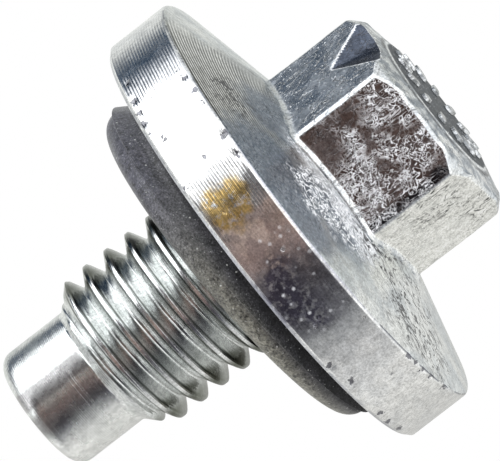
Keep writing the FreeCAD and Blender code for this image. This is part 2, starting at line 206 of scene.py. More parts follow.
# %% [markdown]
# ## The plug's surface as rings
# The plug is one piece of steel, so it becomes one closed mesh. A cylinder and a hexagonal prism could be
# joined with booleans and bevelled, but a bright surface shows the uneven faces that those leave. Nearly
# all of the plug can be drawn as rings stacked along the axis, with the same number of columns in each.
# A ring is round on the flange and follows the hexagon on the head, and the columns are close together
# where the hexagon's corners turn.

# %% Outline of the hexagon, column by column
COLUMNS = 360
SIDE_COLUMNS = COLUMNS // 6
ARC_COLUMNS = 6
column_angle = np.arange(COLUMNS) * 2 * math.pi / COLUMNS
corner_centre = (HALF_FLATS - CORNER_ROUND) / math.cos(math.radians(30))


def hexagon_outline():
    """Return the outline's points and outward directions, with a corner at angle 0."""
    points = np.zeros((COLUMNS, 2))
    normals = np.zeros((COLUMNS, 2))
    for side in range(6):
        start = math.radians(60 * side)
        half = math.radians(30)
        first = corner_centre * np.array([math.cos(start), math.sin(start)])
        second = corner_centre * np.array([math.cos(start + 2 * half), math.sin(start + 2 * half)])
        facing = np.array([math.cos(start + half), math.sin(start + half)])
        for local in range(SIDE_COLUMNS):
            column = side * SIDE_COLUMNS + local
            if local <= ARC_COLUMNS:
                angle = start + half * local / ARC_COLUMNS
                centre = first
            elif local >= SIDE_COLUMNS - ARC_COLUMNS:
                angle = start + 2 * half - half * (SIDE_COLUMNS - local) / ARC_COLUMNS
                centre = second
            else:
                share = (local - ARC_COLUMNS) / (SIDE_COLUMNS - 2 * ARC_COLUMNS)
                points[column] = first + (second - first) * share + facing * CORNER_ROUND
                normals[column] = facing
                continue
            normals[column] = (math.cos(angle), math.sin(angle))
            points[column] = centre + CORNER_ROUND * normals[column]
    return points, normals


hex_points, hex_normals = hexagon_outline()
print("across corners", round(2 * float(np.hypot(*hex_points[0])), 2))

# %% [markdown]
# The head's top is crowned, and the flange's top is a shallow cone. Both heights depend only on the
# distance from the axis, so each is one short function.

# %% Heights of the crown and of the cone
CORNER_SOFTNESS = 0.15
CORNER_LIFT = 0.04


def soft_step(values, low, high):
    """Rise smoothly from 0 at low to 1 at high."""
    share = np.clip((values - low) / (high - low), 0, 1)
    return share * share * (3 - 2 * share)


def crown_height(radius):
    """Height of the head's top at a radius: flat, then a gentle fall, then a steep one at the corners."""
    gentle = np.maximum(radius - CROWN_FLAT_RADIUS, 0) * math.tan(CROWN_SLOPE)
    past = np.maximum(radius - CORNER_FALL_RADIUS + CORNER_SOFTNESS, 0)
    blend = np.minimum(past / (2 * CORNER_SOFTNESS), 1)
    steep = (math.tan(CORNER_FALL_SLOPE) - math.tan(CROWN_SLOPE)) * (past - CORNER_SOFTNESS) * blend
    return MARK_HEIGHT + gentle + np.maximum(steep, 0) + CORNER_LIFT * blend * (1 - blend)


def cone_height(radius):
    """Height of the flange's top face at a radius."""
    return RIM_TOP - (RIM_RADIUS - radius) * math.tan(CONE_SLOPE)


print("crown at the corners", round(float(crown_height(np.array(8.0))), 2))

# %% [markdown]
# Each ring below is a list of points, one for each column. Rounded edges are drawn as real arcs, with a
# few rings in each, because a bright edge needs somewhere to turn the light.

# %% Rings of the head
TOP_CIRCLES = (1.0, 2.2, 3.4, 4.3, 4.9)
CROWN_RINGS = 12
ARC_RINGS = 5
rings = []
ring_kind = []


def add_ring(points, kind):
    """Keep one ring of points and the finish of the band that starts at it."""
    rings.append(points)
    ring_kind.append(kind)


def circle_ring(radius, height):
    """Return a level round ring."""
    ring = np.zeros((COLUMNS, 3))
    ring[:, 0] = radius * np.cos(column_angle)
    ring[:, 1] = radius * np.sin(column_angle)
    ring[:, 2] = height
    return ring


for radius in TOP_CIRCLES:
    add_ring(circle_ring(radius, MARK_HEIGHT), "forged")
corner_share = soft_step(np.hypot(hex_points[:, 0], hex_points[:, 1]), 7.15, 7.45)
crown_lean = CROWN_SLOPE + (CORNER_FALL_SLOPE - CROWN_SLOPE) * corner_share
edge_height = crown_height(np.hypot(hex_points[:, 0], hex_points[:, 1]))
arc_height = edge_height - CROWN_ROUND * np.tan(crown_lean) + CROWN_ROUND / np.cos(crown_lean)


def crown_arc(share):
    """Return the ring on the rounded edge of the crown: share 0 is on the crown, 1 on the flats."""
    lean = crown_lean + (math.pi / 2 - crown_lean) * share
    inward = CROWN_ROUND - CROWN_ROUND * np.sin(lean)
    ring = np.zeros((COLUMNS, 3))
    ring[:, :2] = hex_points - hex_normals * inward[:, None]
    ring[:, 2] = arc_height - CROWN_ROUND * np.cos(lean)
    return ring


arc_start = crown_arc(0.0)
for step in range(1, CROWN_RINGS):
    share = step / CROWN_RINGS
    ring = np.zeros((COLUMNS, 3))
    inner = circle_ring(CROWN_FLAT_RADIUS, 0)[:, :2]
    ring[:, :2] = inner + (arc_start[:, :2] - inner) * share
    flat_height = crown_height(np.hypot(ring[:, 0], ring[:, 1]))
    ring[:, 2] = flat_height + (arc_start[:, 2] - crown_height(
        np.hypot(arc_start[:, 0], arc_start[:, 1]))) * share ** 4
    add_ring(ring, "forged")
for step in range(ARC_RINGS):
    add_ring(crown_arc(step / ARC_RINGS), "forged")
print("rings of the head", len(rings))

# %% [markdown]
# Below the crown the rings follow the hexagon down its flats, turn outwards in a small fillet, and then
# change from a hexagon to a circle on their way down the cone.

# %% Rings of the flats, the foot fillet and the cone
FLAT_RINGS = 34
FILLET_RINGS = 6
CONE_RINGS = 24
FLAT_GATHERING = 1.25
foot_edge = cone_height(np.hypot(hex_points[:, 0], hex_points[:, 1]))
foot_centre = foot_edge + FOOT_ROUND * math.tan(CONE_SLOPE) - FOOT_ROUND / math.cos(CONE_SLOPE)
for step in range(FLAT_RINGS):
    share = (step / FLAT_RINGS) ** FLAT_GATHERING
    ring = np.zeros((COLUMNS, 3))
    ring[:, :2] = hex_points
    ring[:, 2] = arc_height + (foot_centre - arc_height) * share
    add_ring(ring, "forged")
for step in range(FILLET_RINGS):
    lean = CONE_SLOPE + (math.pi / 2 - CONE_SLOPE) * (1 - step / FILLET_RINGS)
    outward = FOOT_ROUND - FOOT_ROUND * math.sin(lean)
    ring = np.zeros((COLUMNS, 3))
    ring[:, :2] = hex_points + hex_normals * outward
    ring[:, 2] = foot_centre + FOOT_ROUND * math.cos(lean)
    add_ring(ring, "forged")
outward = FOOT_ROUND - FOOT_ROUND * math.sin(CONE_SLOPE)
cone_start = hex_points + hex_normals * outward
rim_arc_radius = RIM_RADIUS - RIM_ROUND
rim_arc_height = cone_height(rim_arc_radius) + RIM_ROUND / math.cos(CONE_SLOPE)
cone_stop = circle_ring(rim_arc_radius + RIM_ROUND * math.sin(CONE_SLOPE), 0)[:, :2]
for step in range(CONE_RINGS):
    share = step / CONE_RINGS
    ring = np.zeros((COLUMNS, 3))
    ring[:, :2] = cone_start + (cone_stop - cone_start) * share
    ring[:, 2] = cone_height(np.hypot(ring[:, 0], ring[:, 1]))
    add_ring(ring, "cone")
print("rings so far", len(rings))

# %% [markdown]
# The rim is upright and gets many rings, because nicks are pressed into it later and a dent needs points
# to move. The underside has the groove for the rubber ring, and the neck rises from it in a fillet.

# %% Rings of the rim and the flange's underside
RIM_RINGS = 30
GROOVE_EDGE = 0.06
for step in range(ARC_RINGS):
    lean = CONE_SLOPE + (math.pi / 2 - CONE_SLOPE) * step / ARC_RINGS
    ring = circle_ring(rim_arc_radius + RIM_ROUND * math.sin(lean),
                       rim_arc_height - RIM_ROUND * math.cos(lean))
    add_ring(ring, "cone" if step < 2 else "rim")
rim_height = FLANGE - RIM_CHAMFER - rim_arc_height
for step in range(RIM_RINGS + 1):
    add_ring(circle_ring(RIM_RADIUS, rim_arc_height + rim_height * step / RIM_RINGS), "rim")
add_ring(circle_ring(RIM_RADIUS - RIM_CHAMFER / 2, FLANGE - RIM_CHAMFER / 2), "rim")
for radius in (RIM_RADIUS - RIM_CHAMFER, 14.6, 13.4, GROOVE_OUTER + GROOVE_EDGE):
    add_ring(circle_ring(radius, FLANGE), "shank")
for height in (FLANGE - GROOVE_EDGE, FLANGE - GROOVE_DEPTH):
    add_ring(circle_ring(GROOVE_OUTER, height), "shank")
for radius in (10.8, 9.2, GROOVE_INNER):
    add_ring(circle_ring(radius, FLANGE - GROOVE_DEPTH), "shank")
add_ring(circle_ring(GROOVE_INNER, FLANGE - GROOVE_EDGE), "shank")
for radius in (GROOVE_INNER - GROOVE_EDGE, 6.5):
    add_ring(circle_ring(radius, FLANGE), "shank")
for step in range(ARC_RINGS + 1):
    lean = math.pi / 2 * step / ARC_RINGS
    add_ring(circle_ring(NECK_RADIUS + NECK_ROUND * (1 - math.sin(lean)),
                         FLANGE + NECK_ROUND * (1 - math.cos(lean))), "shank")
print("rings down to the neck", len(rings))

# %% [markdown]
# ## The thread
# The plug screws in by a rolled thread: one groove wound along a helix, so the same short strip of
# surface repeats all the way. It could be cut with a boolean or spun with the screw modifier, but both
# leave uneven faces where the thread runs out. Geometry Nodes suit it better: a flat grid is bent round
# the axis, with its columns running along the helix and its rows across one pitch, and each point is
# moved to the radius that the thread has there. The grid starts and ends where the metal is plain, so it
# can be sewn to level rings at both ends.
#
# A tree of nodes is mostly sums. A wire is one node's output that can be added, multiplied and so on like
# a number, and each sum adds the Math node that does it.


# %% A wire from a node
class Wire:
    """One output of a node, which can be added, multiplied and so on as if it were a number."""

    def __init__(self, board, socket):
        self.board = board
        self.socket = socket

    def __add__(self, other):
        return self.board.math("ADD", self, other)

    def __sub__(self, other):
        return self.board.math("SUBTRACT", self, other)

    def __rsub__(self, other):
        return self.board.math("SUBTRACT", other, self)

    def __mul__(self, other):
        return self.board.math("MULTIPLY", self, other)

    def __truediv__(self, other):
        return self.board.math("DIVIDE", self, other)

    def __rtruediv__(self, other):
        return self.board.math("DIVIDE", other, self)

    __radd__ = __add__
    __rmul__ = __mul__

    def range(self, low, high, new_low=0.0, new_high=1.0):
        """Map this value smoothly from one range to another, held at the ends."""
        return self.board.add("ShaderNodeMapRange", {0: self, 1: low, 2: high, 3: new_low, 4: new_high},
                              interpolation_type="SMOOTHSTEP")

    def vector(self, operation, other=None):
        """Add one Vector Math node that works on this vector."""
        inputs = {0: self}
        if other is not None:
            inputs["Scale" if operation == "SCALE" else 1] = other
        output = 1 if operation in ("DOT_PRODUCT", "DISTANCE", "LENGTH") else 0
        return self.board.add("ShaderNodeVectorMath", inputs, output=output, operation=operation)

    def noise(self, scale, detail=3.0, roughness=0.5, distortion=0.0):
        """Add a noise texture at this place and return its value."""
        return self.board.add("ShaderNodeTexNoise", {
            "Vector": self, "Scale": scale, "Detail": detail, "Roughness": roughness,
            "Distortion": distortion})


print("a wire can", [name for name in vars(Wire) if not name.startswith("_")])

# %% [markdown]
# A board belongs to one tree. It adds a node, sets it and feeds its inputs in one line, whether an input
# is a plain value or a wire.


# %% A board that adds nodes to one tree
class NodeBoard:
    """Adds nodes to a tree in one line each."""

    def __init__(self, tree):
        self.tree = tree

    def connect(self, value, socket):
        """Feed an input from a wire, or set it to a plain value."""
        if isinstance(value, Wire):
            self.tree.links.new(value.socket, socket)
        else:
            socket.default_value = value

    def node(self, kind, inputs=None, **settings):
        """Add one node, set its properties and feed its inputs."""
        node = self.tree.nodes.new(kind)
        for name, value in settings.items():
            setattr(node, name, value)
        for key, value in (inputs or {}).items():
            self.connect(value, node.inputs[key])
        return node

    def add(self, kind, inputs=None, output=0, **settings):
        """Add one node and return a wire from one of its outputs."""
        return Wire(self, self.node(kind, inputs, **settings).outputs[output])

    def math(self, operation, *values, clamp=False):
        """Add one Math node."""
        return self.add("ShaderNodeMath", dict(enumerate(values)), operation=operation, use_clamp=clamp)

    def wires(self, node):
        """Return wires from all outputs of a node, by name."""
        return {socket.name: Wire(self, socket) for socket in node.outputs}

    def axes(self, vector):
        """Split a vector into its three parts."""
        parts = self.node("ShaderNodeSeparateXYZ", {0: vector}).outputs
        return [Wire(self, part) for part in parts]

    def joined(self, **parts):
        """Make a vector from parts named X, Y and Z; a part that isn't named is 0."""
        return self.add("ShaderNodeCombineXYZ", parts)


print("a board can", [name for name in vars(NodeBoard) if not name.startswith("_")])

# %% [markdown]
# Three more helpers: the largest and the smallest of several wires, and a new node group with named
# inputs and outputs, which is how the same tree can be used with other sizes.


# %% Largest, smallest, and a new group
def most(first, *others):
    """Return the largest of several values."""
    for other in others:
        first = first.board.math("MAXIMUM", first, other)
    return first


def least(first, *others):
    """Return the smallest of several values."""
    for other in others:
        first = first.board.math("MINIMUM", first, other)
    return first


def new_group(name, kind, inputs, outputs):
    """Start a node group whose sockets are (name, kind, default); return its board and its inputs."""
    tree = bpy.data.node_groups.new(name, kind)
    for in_out, sockets in (("INPUT", inputs), ("OUTPUT", outputs)):
        for socket_name, socket_kind, default in sockets:
            socket = tree.interface.new_socket(name=socket_name, in_out=in_out,
                                               socket_type="NodeSocket" + socket_kind)
            if default is not None:
                socket.default_value = default
    board = NodeBoard(tree)
    return board, board.wires(board.node("NodeGroupInput"))


print("helpers for node trees", most.__name__, least.__name__, new_group.__name__)

# %% [markdown]
# Now the thread itself. Across one pitch, its profile is a 60 degree groove with a small flat on the
# crest and a rounded root. It is cut into a blank that rises from the neck and falls to the pilot, and
# its root lifts where a rolled thread runs out.

# %% Node tree that bends a grid into the thread
THREAD_ROWS = 14
HELIX_TURNS = 7
HELIX_START = FLANGE + CREST_FROM_FLANGE - 4.25 * PITCH
ROW_GATHERING = 0.045
THREAD_FLANK = math.radians(30)
ROOT_SOFTNESS = 0.16
CREST_SOFTNESS = 0.14
BLANK_SOFTNESS = 0.06
board, given = new_group("helical_thread", "GeometryNodeTree", [
    ("Geometry", "Geometry", None), ("Columns per Turn", "Int", 360), ("Rows per Pitch", "Int", 14),
    ("Turns", "Int", 8), ("Pitch", "Float", 1.75), ("Start Height", "Float", 0.0),
    ("Crest Radius", "Float", 5.9), ("Root Radius", "Float", 4.77), ("Crest Width", "Float", 0.26),
    ("Crest Height", "Float", 0.0), ("Neck Radius", "Float", 5.35), ("Neck End", "Float", 0.0),
    ("Thread Foot", "Float", 0.0), ("Run Out", "Float", 1.25), ("Pilot Radius", "Float", 4.4),
    ("Pilot Foot", "Float", 0.0), ("Material", "Material", None),
], [("Geometry", "Geometry", None)])
grid = board.add("GeometryNodeMeshGrid", {
    "Size X": 1.0, "Size Y": 1.0, "Vertices X": given["Columns per Turn"] * given["Turns"] + 1.0,
    "Vertices Y": given["Rows per Pitch"] + 1.0})
along, across, _ = board.axes(board.add("GeometryNodeInputPosition"))
turns_done = (along + 0.5) * given["Turns"]
across = across + 0.5
angle = turns_done * (2 * math.pi)

# Rows sit closer together at the crest and the root, where the surface turns
across = across + board.math("SINE", across * (4 * math.pi)) * ROW_GATHERING
height = given["Start Height"] + (turns_done + across) * given["Pitch"]

# Distance along the axis from the nearest crest: crests climb one pitch in each turn
from_crest = height - (given["Crest Height"] + board.math("FRACT", turns_done) * given["Pitch"])
half_pitch = given["Pitch"] * 0.5
wrapped = board.math("ABSOLUTE", board.math("WRAP", from_crest, half_pitch, half_pitch * -1.0))
fall = (wrapped - given["Crest Width"] * 0.5) / math.tan(THREAD_FLANK)
rounded_root = board.math("SMOOTH_MAX", given["Crest Radius"] - fall, given["Root Radius"], ROOT_SOFTNESS)
profile = board.math("SMOOTH_MIN", rounded_root, given["Crest Radius"], CREST_SOFTNESS)

# The blank that the thread is cut from rises from the neck and falls to the pilot at 45 degrees
rise = most(given["Neck Radius"] + (height - given["Thread Foot"]), given["Neck Radius"])
drop = most(given["Pilot Radius"] + (given["Pilot Foot"] - height), given["Pilot Radius"])
cut = board.math("SMOOTH_MIN", profile, least(rise, drop, given["Crest Radius"]), BLANK_SOFTNESS)
neck_drop = (height - given["Neck End"]) / given["Run Out"]
neck_depth = (given["Neck Radius"] - given["Root Radius"]) + 0.1
neck_fall = given["Neck Radius"] - most(neck_drop, 0.0) * neck_depth
radius = most(cut, neck_fall * board.math("LESS_THAN", neck_drop, 1.0))
bent = board.joined(X=radius * board.math("COSINE", angle), Y=radius * board.math("SINE", angle), Z=height)
made = board.add("GeometryNodeSetPosition", {"Geometry": grid, "Position": bent})
made = board.add("GeometryNodeRealizeInstances", {"Geometry": made})
made = board.add("GeometryNodeSetMaterial", {"Geometry": made, "Material": given["Material"]})
board.node("NodeGroupOutput", {"Geometry": made})
thread_tree = board.tree
print("thread tree nodes", len(thread_tree.nodes))


# %% [markdown]
# A tree only shows its result through a modifier, and the export wants plain meshes. So the tree is run
# once on an empty mesh, its result is copied, and the modifier goes.


# %% Run a tree and keep its plain mesh
def mesh_from_tree(name, tree, values):
    """Run a Geometry Nodes tree on an empty mesh with named values, and return the mesh it makes."""
    carrier = bpy.data.objects.new(name, bpy.data.meshes.new(name))
    bpy.context.scene.collection.objects.link(carrier)
    modifier = carrier.modifiers.new(tree.name, "NODES")
    modifier.node_group = tree
    for item in tree.interface.items_tree:
        if item.item_type == "SOCKET" and item.in_out == "INPUT" and item.name in values:
            modifier[item.identifier] = values[item.name]
    graph = bpy.context.evaluated_depsgraph_get()
    made = bpy.data.meshes.new_from_object(carrier.evaluated_get(graph), depsgraph=graph)
    carrier.modifiers.clear()
    bpy.data.objects.remove(carrier)
    return made


thread_foot = FLANGE + NECK_LENGTH
thread_mesh = mesh_from_tree("thread_strip", thread_tree, {
    "Columns per Turn": COLUMNS, "Rows per Pitch": THREAD_ROWS, "Turns": HELIX_TURNS, "Pitch": PITCH,
    "Start Height": HELIX_START, "Crest Radius": CREST_RADIUS, "Root Radius": CREST_RADIUS - THREAD_DEPTH,
    "Crest Width": CREST_WIDTH, "Crest Height": FLANGE + CREST_FROM_FLANGE, "Neck Radius": NECK_RADIUS,
    "Neck End": thread_foot - RUN_OUT_LEAD, "Thread Foot": thread_foot, "Run Out": RUN_OUT_LENGTH,
    "Pilot Radius": PILOT_RADIUS, "Pilot Foot": PILOT_FOOT})
strip = np.zeros(len(thread_mesh.vertices) * 3)
thread_mesh.vertices.foreach_get("co", strip)
strip = strip.reshape(-1, 3)
print("strip points", len(strip), "lowest", strip[:, 2].min(), "highest", strip[:, 2].max())

# %% [markdown]
# ## Sewing the plug together
# The strip's two long edges meet turn by turn, so a point on the upper edge of one turn is the same point
# as one on the lower edge of the next. At each end, the last edge climbs once round the neck or the
# pilot, and a few leaning rings close the gap to a level ring.

# %% Points and faces of the whole plug
points = []
faces = []
face_finish = []
FINISHES = ["forged", "cone", "rim", "shank"]


def keep_points(ring):
    """Store a ring's points and return their numbers."""
    first = len(points)
    points.extend(ring.tolist())
    return list(range(first, first + len(ring)))


def keep_face(corners, finish):
    """Store one face unless two of its corners are the same point."""
    if len(set(corners)) == len(corners):
        faces.append(corners)
        face_finish.append(FINISHES.index(finish))


def band(lower, upper, finish):
    """Join two rings with the same number of points by a band of four-sided faces."""
    for column in range(COLUMNS):
        after = (column + 1) % COLUMNS
        keep_face([lower[column], lower[after], upper[after], upper[column]], finish)


def fan(centre, ring, finish):
    """Close a ring with triangles that meet in one point."""
    for column in range(COLUMNS):
        keep_face([centre, ring[column], ring[(column + 1) % COLUMNS]], finish)


head_centre = keep_points(np.array([[0.0, 0.0, MARK_HEIGHT]]))[0]
numbered = [keep_points(ring) for ring in rings]
fan(head_centre, numbered[0], "forged")
for number in range(len(numbered) - 1):
    band(numbered[number], numbered[number + 1], ring_kind[number])
print("points of the head and the flange", len(points))

# %% [markdown]
# The strip's columns are numbered along the whole helix and its rows across one pitch. From the second
# turn on, the lowest row takes the numbers of the highest row of the turn before, which sews the two.

# %% Faces of the thread
strip_grid = strip.reshape(-1, THREAD_ROWS + 1, 3)
strip_number = np.zeros((len(strip_grid), THREAD_ROWS + 1), dtype=int)
for column in range(len(strip_grid)):
    first_row = 0
    if column >= COLUMNS:
        strip_number[column, 0] = strip_number[column - COLUMNS, THREAD_ROWS]
        first_row = 1
    for row in range(first_row, THREAD_ROWS + 1):
        strip_number[column, row] = len(points)
        points.append(strip_grid[column, row].tolist())
for column in range(len(strip_grid) - 1):
    for row in range(THREAD_ROWS):
        keep_face([int(strip_number[column, row]), int(strip_number[column + 1, row]),
                   int(strip_number[column + 1, row + 1]), int(strip_number[column, row + 1])], "shank")
print("points with the thread", len(points))

# %% [markdown]
# A helix doesn't end level. Three rings that lean less and less lead from its last edge to a level ring,
# at the neck and again at the pilot, and a small fan of triangles closes the step where a turn begins.


# %% Ends of the thread
def sheared_rings(start_ring, stop_ring, count):
    """Return rings spaced evenly between two rings of point numbers, both ends included."""
    first = np.array([points[number] for number in start_ring])
    last = np.array([points[number] for number in stop_ring])
    made = [start_ring]
    for step in range(1, count):
        made.append(keep_points(first + (last - first) * step / count))
    made.append(stop_ring)
    return made


LEANING_RINGS = 3
PILOT_RING_LEVELS = (15.3, 16.0, 16.8)
lower_edge = [int(strip_number[column, 0]) for column in range(COLUMNS)]
leaning = sheared_rings(numbered[-1], lower_edge, LEANING_RINGS)
for number in range(LEANING_RINGS):
    band(leaning[number], leaning[number + 1], "shank")
for row in range(THREAD_ROWS):
    keep_face([lower_edge[-1], int(strip_number[0, row]), int(strip_number[0, row + 1])], "shank")

last_column = len(strip_grid) - 1
upper_edge = [int(strip_number[last_column - COLUMNS + column, THREAD_ROWS]) for column in range(COLUMNS)]
upper_edge[0] = int(strip_number[last_column, THREAD_ROWS])
pilot_ring = keep_points(circle_ring(PILOT_RADIUS, FLANGE + PILOT_RING_LEVELS[0]))
leaning = sheared_rings(upper_edge, pilot_ring, LEANING_RINGS)
for number in range(LEANING_RINGS):
    band(leaning[number], leaning[number + 1], "shank")
for row in range(THREAD_ROWS):
    corners = [upper_edge[1], int(strip_number[last_column, row + 1]), int(strip_number[last_column, row])]
    keep_face(corners, "shank")
print("points with the thread's ends", len(points))

# %% [markdown]
# The pilot is a plain cylinder with a rounded end, so it is the last few level rings and a fan.

# %% Pilot
PILOT_ARC = 8
below = pilot_ring
for height in (FLANGE + PILOT_RING_LEVELS[1], FLANGE + PILOT_RING_LEVELS[2], PILOT_END - PILOT_ROUND):
    above = keep_points(circle_ring(PILOT_RADIUS, height))
    band(below, above, "shank")
    below = above
for step in range(1, PILOT_ARC + 1):
    lean = math.pi / 2 * step / PILOT_ARC
    above = keep_points(circle_ring(PILOT_RADIUS - PILOT_ROUND * (1 - math.cos(lean)),
                                    PILOT_END - PILOT_ROUND * (1 - math.sin(lean))))
    band(below, above, "shank")
    below = above
for radius in (2.2, 1.0):
    above = keep_points(circle_ring(radius, PILOT_END))
    band(below, above, "shank")
    below = above
fan(keep_points(np.array([[0.0, 0.0, PILOT_END]]))[0], below, "shank")
surface = np.array(points)
print("plug points", len(surface), "faces", len(faces))

# %% [markdown]
# ## Dents and nicks
# Wear is part of this object. The bite that a tool left in one flat is the same shallow cone that the
# source cuts. A boolean could cut it, but it would break the even rings, so the points inside the cone
# are moved back onto it instead.

# %% Press the forging dent into its flat
DENT_FACING = -30.0
DENT_TIP_DEPTH = 3.7
DENT_HALF_ANGLE = math.radians(59)
DENT_SINK = math.radians(12.5)
DENT_TIP_INSET = 0.02
DENT_DEEPEST = 1.6


def press_dent(surface):
    """Move the points inside the dent's cone straight back onto the cone."""
    facing = np.array([math.cos(math.radians(DENT_FACING)), math.sin(math.radians(DENT_FACING)), 0.0])
    tip = facing * (HALF_FLATS - DENT_TIP_INSET) + np.array([0, 0, MARK_HEIGHT + DENT_TIP_DEPTH])
    tilt = math.pi - (DENT_HALF_ANGLE - DENT_SINK)
    axis = facing * math.sin(tilt) + np.array([0, 0, math.cos(tilt)])
    offset = surface - tip
    along = offset @ axis
    reach = np.einsum("ij,ij->i", offset, offset)
    squared = math.cos(DENT_HALF_ANGLE) ** 2
    on_head = (surface[:, 2] < RIM_TOP - 2) & (offset @ facing > -2.0)
    inside = (along > 0) & (along ** 2 > squared * reach) & on_head
    n_axis = float(facing @ axis)
    a = n_axis ** 2 - squared
    b = -2 * along * n_axis + 2 * squared * (offset @ facing)
    c = along ** 2 - squared * reach
    root = np.sqrt(np.maximum(b * b - 4 * a * c, 0))
    first = (-b - root) / (2 * a)
    second = (-b + root) / (2 * a)
    low = np.minimum(first, second)
    high = np.maximum(first, second)
    push = np.where(low > 0, low, high)
    push = np.where(inside & (push > 0) & (push < DENT_DEEPEST), push, 0.0)
    surface -= push[:, None] * facing
    return push


pushed = press_dent(surface)
print("dent points", int((pushed > 0).sum()), "deepest", round(float(pushed.max()), 2))

# %% [markdown]
# Small nicks along the rim's two edges are hollows pressed straight into the metal, each one placed by
# the pixel where the photograph shows it. How deep a point was pressed is kept, so that the rim's
# material can paint shade into the nicks.

# %% Press small nicks into the rim and its edges
# Each nick: pixel in the photograph, radius and depth in millimetres
RIM_NICKS = [
    ((184, 77), 0.36, 0.11), ((194, 89), 0.34, 0.10), ((203, 103), 0.26, 0.08), ((224, 134), 0.42, 0.13),
    ((238, 154), 0.34, 0.09), ((127, 83), 0.26, 0.07), ((134, 101), 0.36, 0.10), ((139, 113), 0.32, 0.10),
    ((143, 124), 0.36, 0.12), ((150, 134), 0.22, 0.06), ((164, 139), 0.34, 0.07), ((185, 189), 0.26, 0.07),
    ((330, 366), 0.40, 0.10), ((351, 382), 0.38, 0.10), ((410, 355), 0.44, 0.15), ((417, 362), 0.32, 0.11),
    ((424, 370), 0.40, 0.13), ((432, 377), 0.44, 0.14), ((444, 388), 0.46, 0.13), ((380, 414), 0.40, 0.12),
    ((389, 422), 0.46, 0.13), ((399, 429), 0.42, 0.12), ((205, 158), 0.22, 0.05), ((318, 318), 0.26, 0.06),
]
nick_depth = np.zeros(len(surface))


def press_nick(surface, place, radius, depth):
    """Press one shallow hollow with a soft edge into the metal around a place."""
    place = np.array(place)
    inward = -place * np.array([1, 1, 0]) / math.hypot(place[0], place[1])
    distance = np.linalg.norm(surface - place, axis=1)
    hollow = np.clip(1 - (distance / radius) ** 2, 0, 1) ** 1.5
    surface += inward * (hollow * depth)[:, None]
    np.maximum(nick_depth, hollow, out=nick_depth)


for pixel, radius, depth in RIM_NICKS:
    press_nick(surface, on_rim(pixel), radius, depth)
print("nicks", len(RIM_NICKS))

# %% [markdown]
# A forged head is never perfectly flat. A slow, shallow waviness of a few hundredths of a millimetre is
# enough to break up the reflections on the flats and the crown, as on the real one.

# %% Waviness of the forged head
SLOW_WAVE = 0.035
QUICK_WAVE = 0.012
WAVE_SHIFT = Vector((7.0, 3.0, 1.0))
forged = (np.hypot(surface[:, 0], surface[:, 1]) < 8.3) & (surface[:, 2] < RIM_TOP - 2.2)
forged &= surface[:, 2] >= MARK_HEIGHT + 0.05
for number in np.nonzero(forged)[0]:
    place = Vector(surface[number])
    wave = SLOW_WAVE * noise.noise(place * 0.55) + QUICK_WAVE * noise.noise(place * 1.7 + WAVE_SHIFT)
    away = Vector((place.x, place.y, 0)).normalized() if place.z > 1.2 else Vector((0, 0, -1))
    surface[number] += np.array(away) * (wave - 0.02)
print("forged points", int(forged.sum()))

# %% [markdown]
# A mesh made from lists may have faces that point inwards, and a gap would let light in. So the faces are
# turned outwards, and the edges that don't join two faces are counted: there should be none.


# %% Make the plug's mesh
SHARP_STEEL = math.radians(40)
DENT_EDGE = 0.05


def solid_mesh(name, points, faces):
    """Build a closed mesh in metres with its faces pointing outwards."""
    mesh = bpy.data.meshes.new(name)
    mesh.from_pydata((np.array(points) * MM).tolist(), [], faces)
    work = bmesh.new()
    work.from_mesh(mesh)
    bmesh.ops.recalc_face_normals(work, faces=work.faces[:])
    open_edges = sum(1 for edge in work.edges if len(edge.link_faces) != 2)
    volume = work.calc_volume(signed=True)
    if volume < 0:
        bmesh.ops.reverse_faces(work, faces=work.faces[:])
    work.to_mesh(mesh)
    work.free()
    mesh.polygons.foreach_set("use_smooth", [True] * len(mesh.polygons))
    print(name, "open edges", open_edges, "volume in mm3", round(abs(volume) / MM ** 3, 1))
    return mesh


def show(name, mesh, slot_name, *replaced):
    """Put a finished mesh in the scene, riding on the plug's only body."""
    piece = bpy.data.objects.new(name, mesh)
    bpy.context.scene.collection.objects.link(piece)
    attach(piece, "root")
    if replaced:
        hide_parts(*replaced)
    return piece


plug_mesh = solid_mesh("plug", surface, faces)
plug_mesh.set_sharp_from_angle(angle=SHARP_STEEL)
plug_mesh.polygons.foreach_set("material_index", face_finish)
for label, amount in (("nicked", nick_depth), ("dented", pushed / DENT_EDGE)):
    layer = plug_mesh.attributes.new(label, "FLOAT", "POINT")
    layer.data.foreach_set("value", np.clip(amount, 0, 1))
show("plug", plug_mesh, "zinc_plated_steel", "drain_plug")
print("plug triangles", sum(len(face.vertices) - 2 for face in plug_mesh.polygons))

# %% [markdown]
# ## Rubber ring
# The seal is moulded in two halves of a tool, which leave a fine step round its widest place. It sits in
# the flange's groove and leans a little, because it isn't pressed home on one side. A torus would be
# quick, but its foot, lip and step have no round section, so the real section is drawn point by point
# and turned round the axis.

# %% Section of the seal
SEAL_ARC = 12
SHARP_SEAL = math.radians(50)
seal_low = FLANGE - GROOVE_DEPTH
seal_high = FLANGE + SEAL_STANDING
section = [(SEAL_INNER, seal_low), (8.8, seal_low), (10.6, seal_low), (SEAL_FOOT - 0.1, seal_low),
           (SEAL_FOOT, seal_low + 0.1), (SEAL_FOOT, FLANGE - 0.3), (SEAL_FOOT, FLANGE + SEAL_FLANK - 0.06),
           (SEAL_FOOT + 0.05, FLANGE + SEAL_FLANK + 0.05), (12.6, FLANGE + 0.75),
           (SEAL_LIP - 0.03, FLANGE + MOULD_LINE - 0.05), (SEAL_LIP, FLANGE + MOULD_LINE),
           (SEAL_LIP - 0.04, FLANGE + MOULD_LINE + 0.035), (SEAL_BEAD + 0.04, FLANGE + MOULD_LINE + 0.075),
           (SEAL_BEAD, FLANGE + MOULD_LINE + MOULD_STEP + 0.03)]
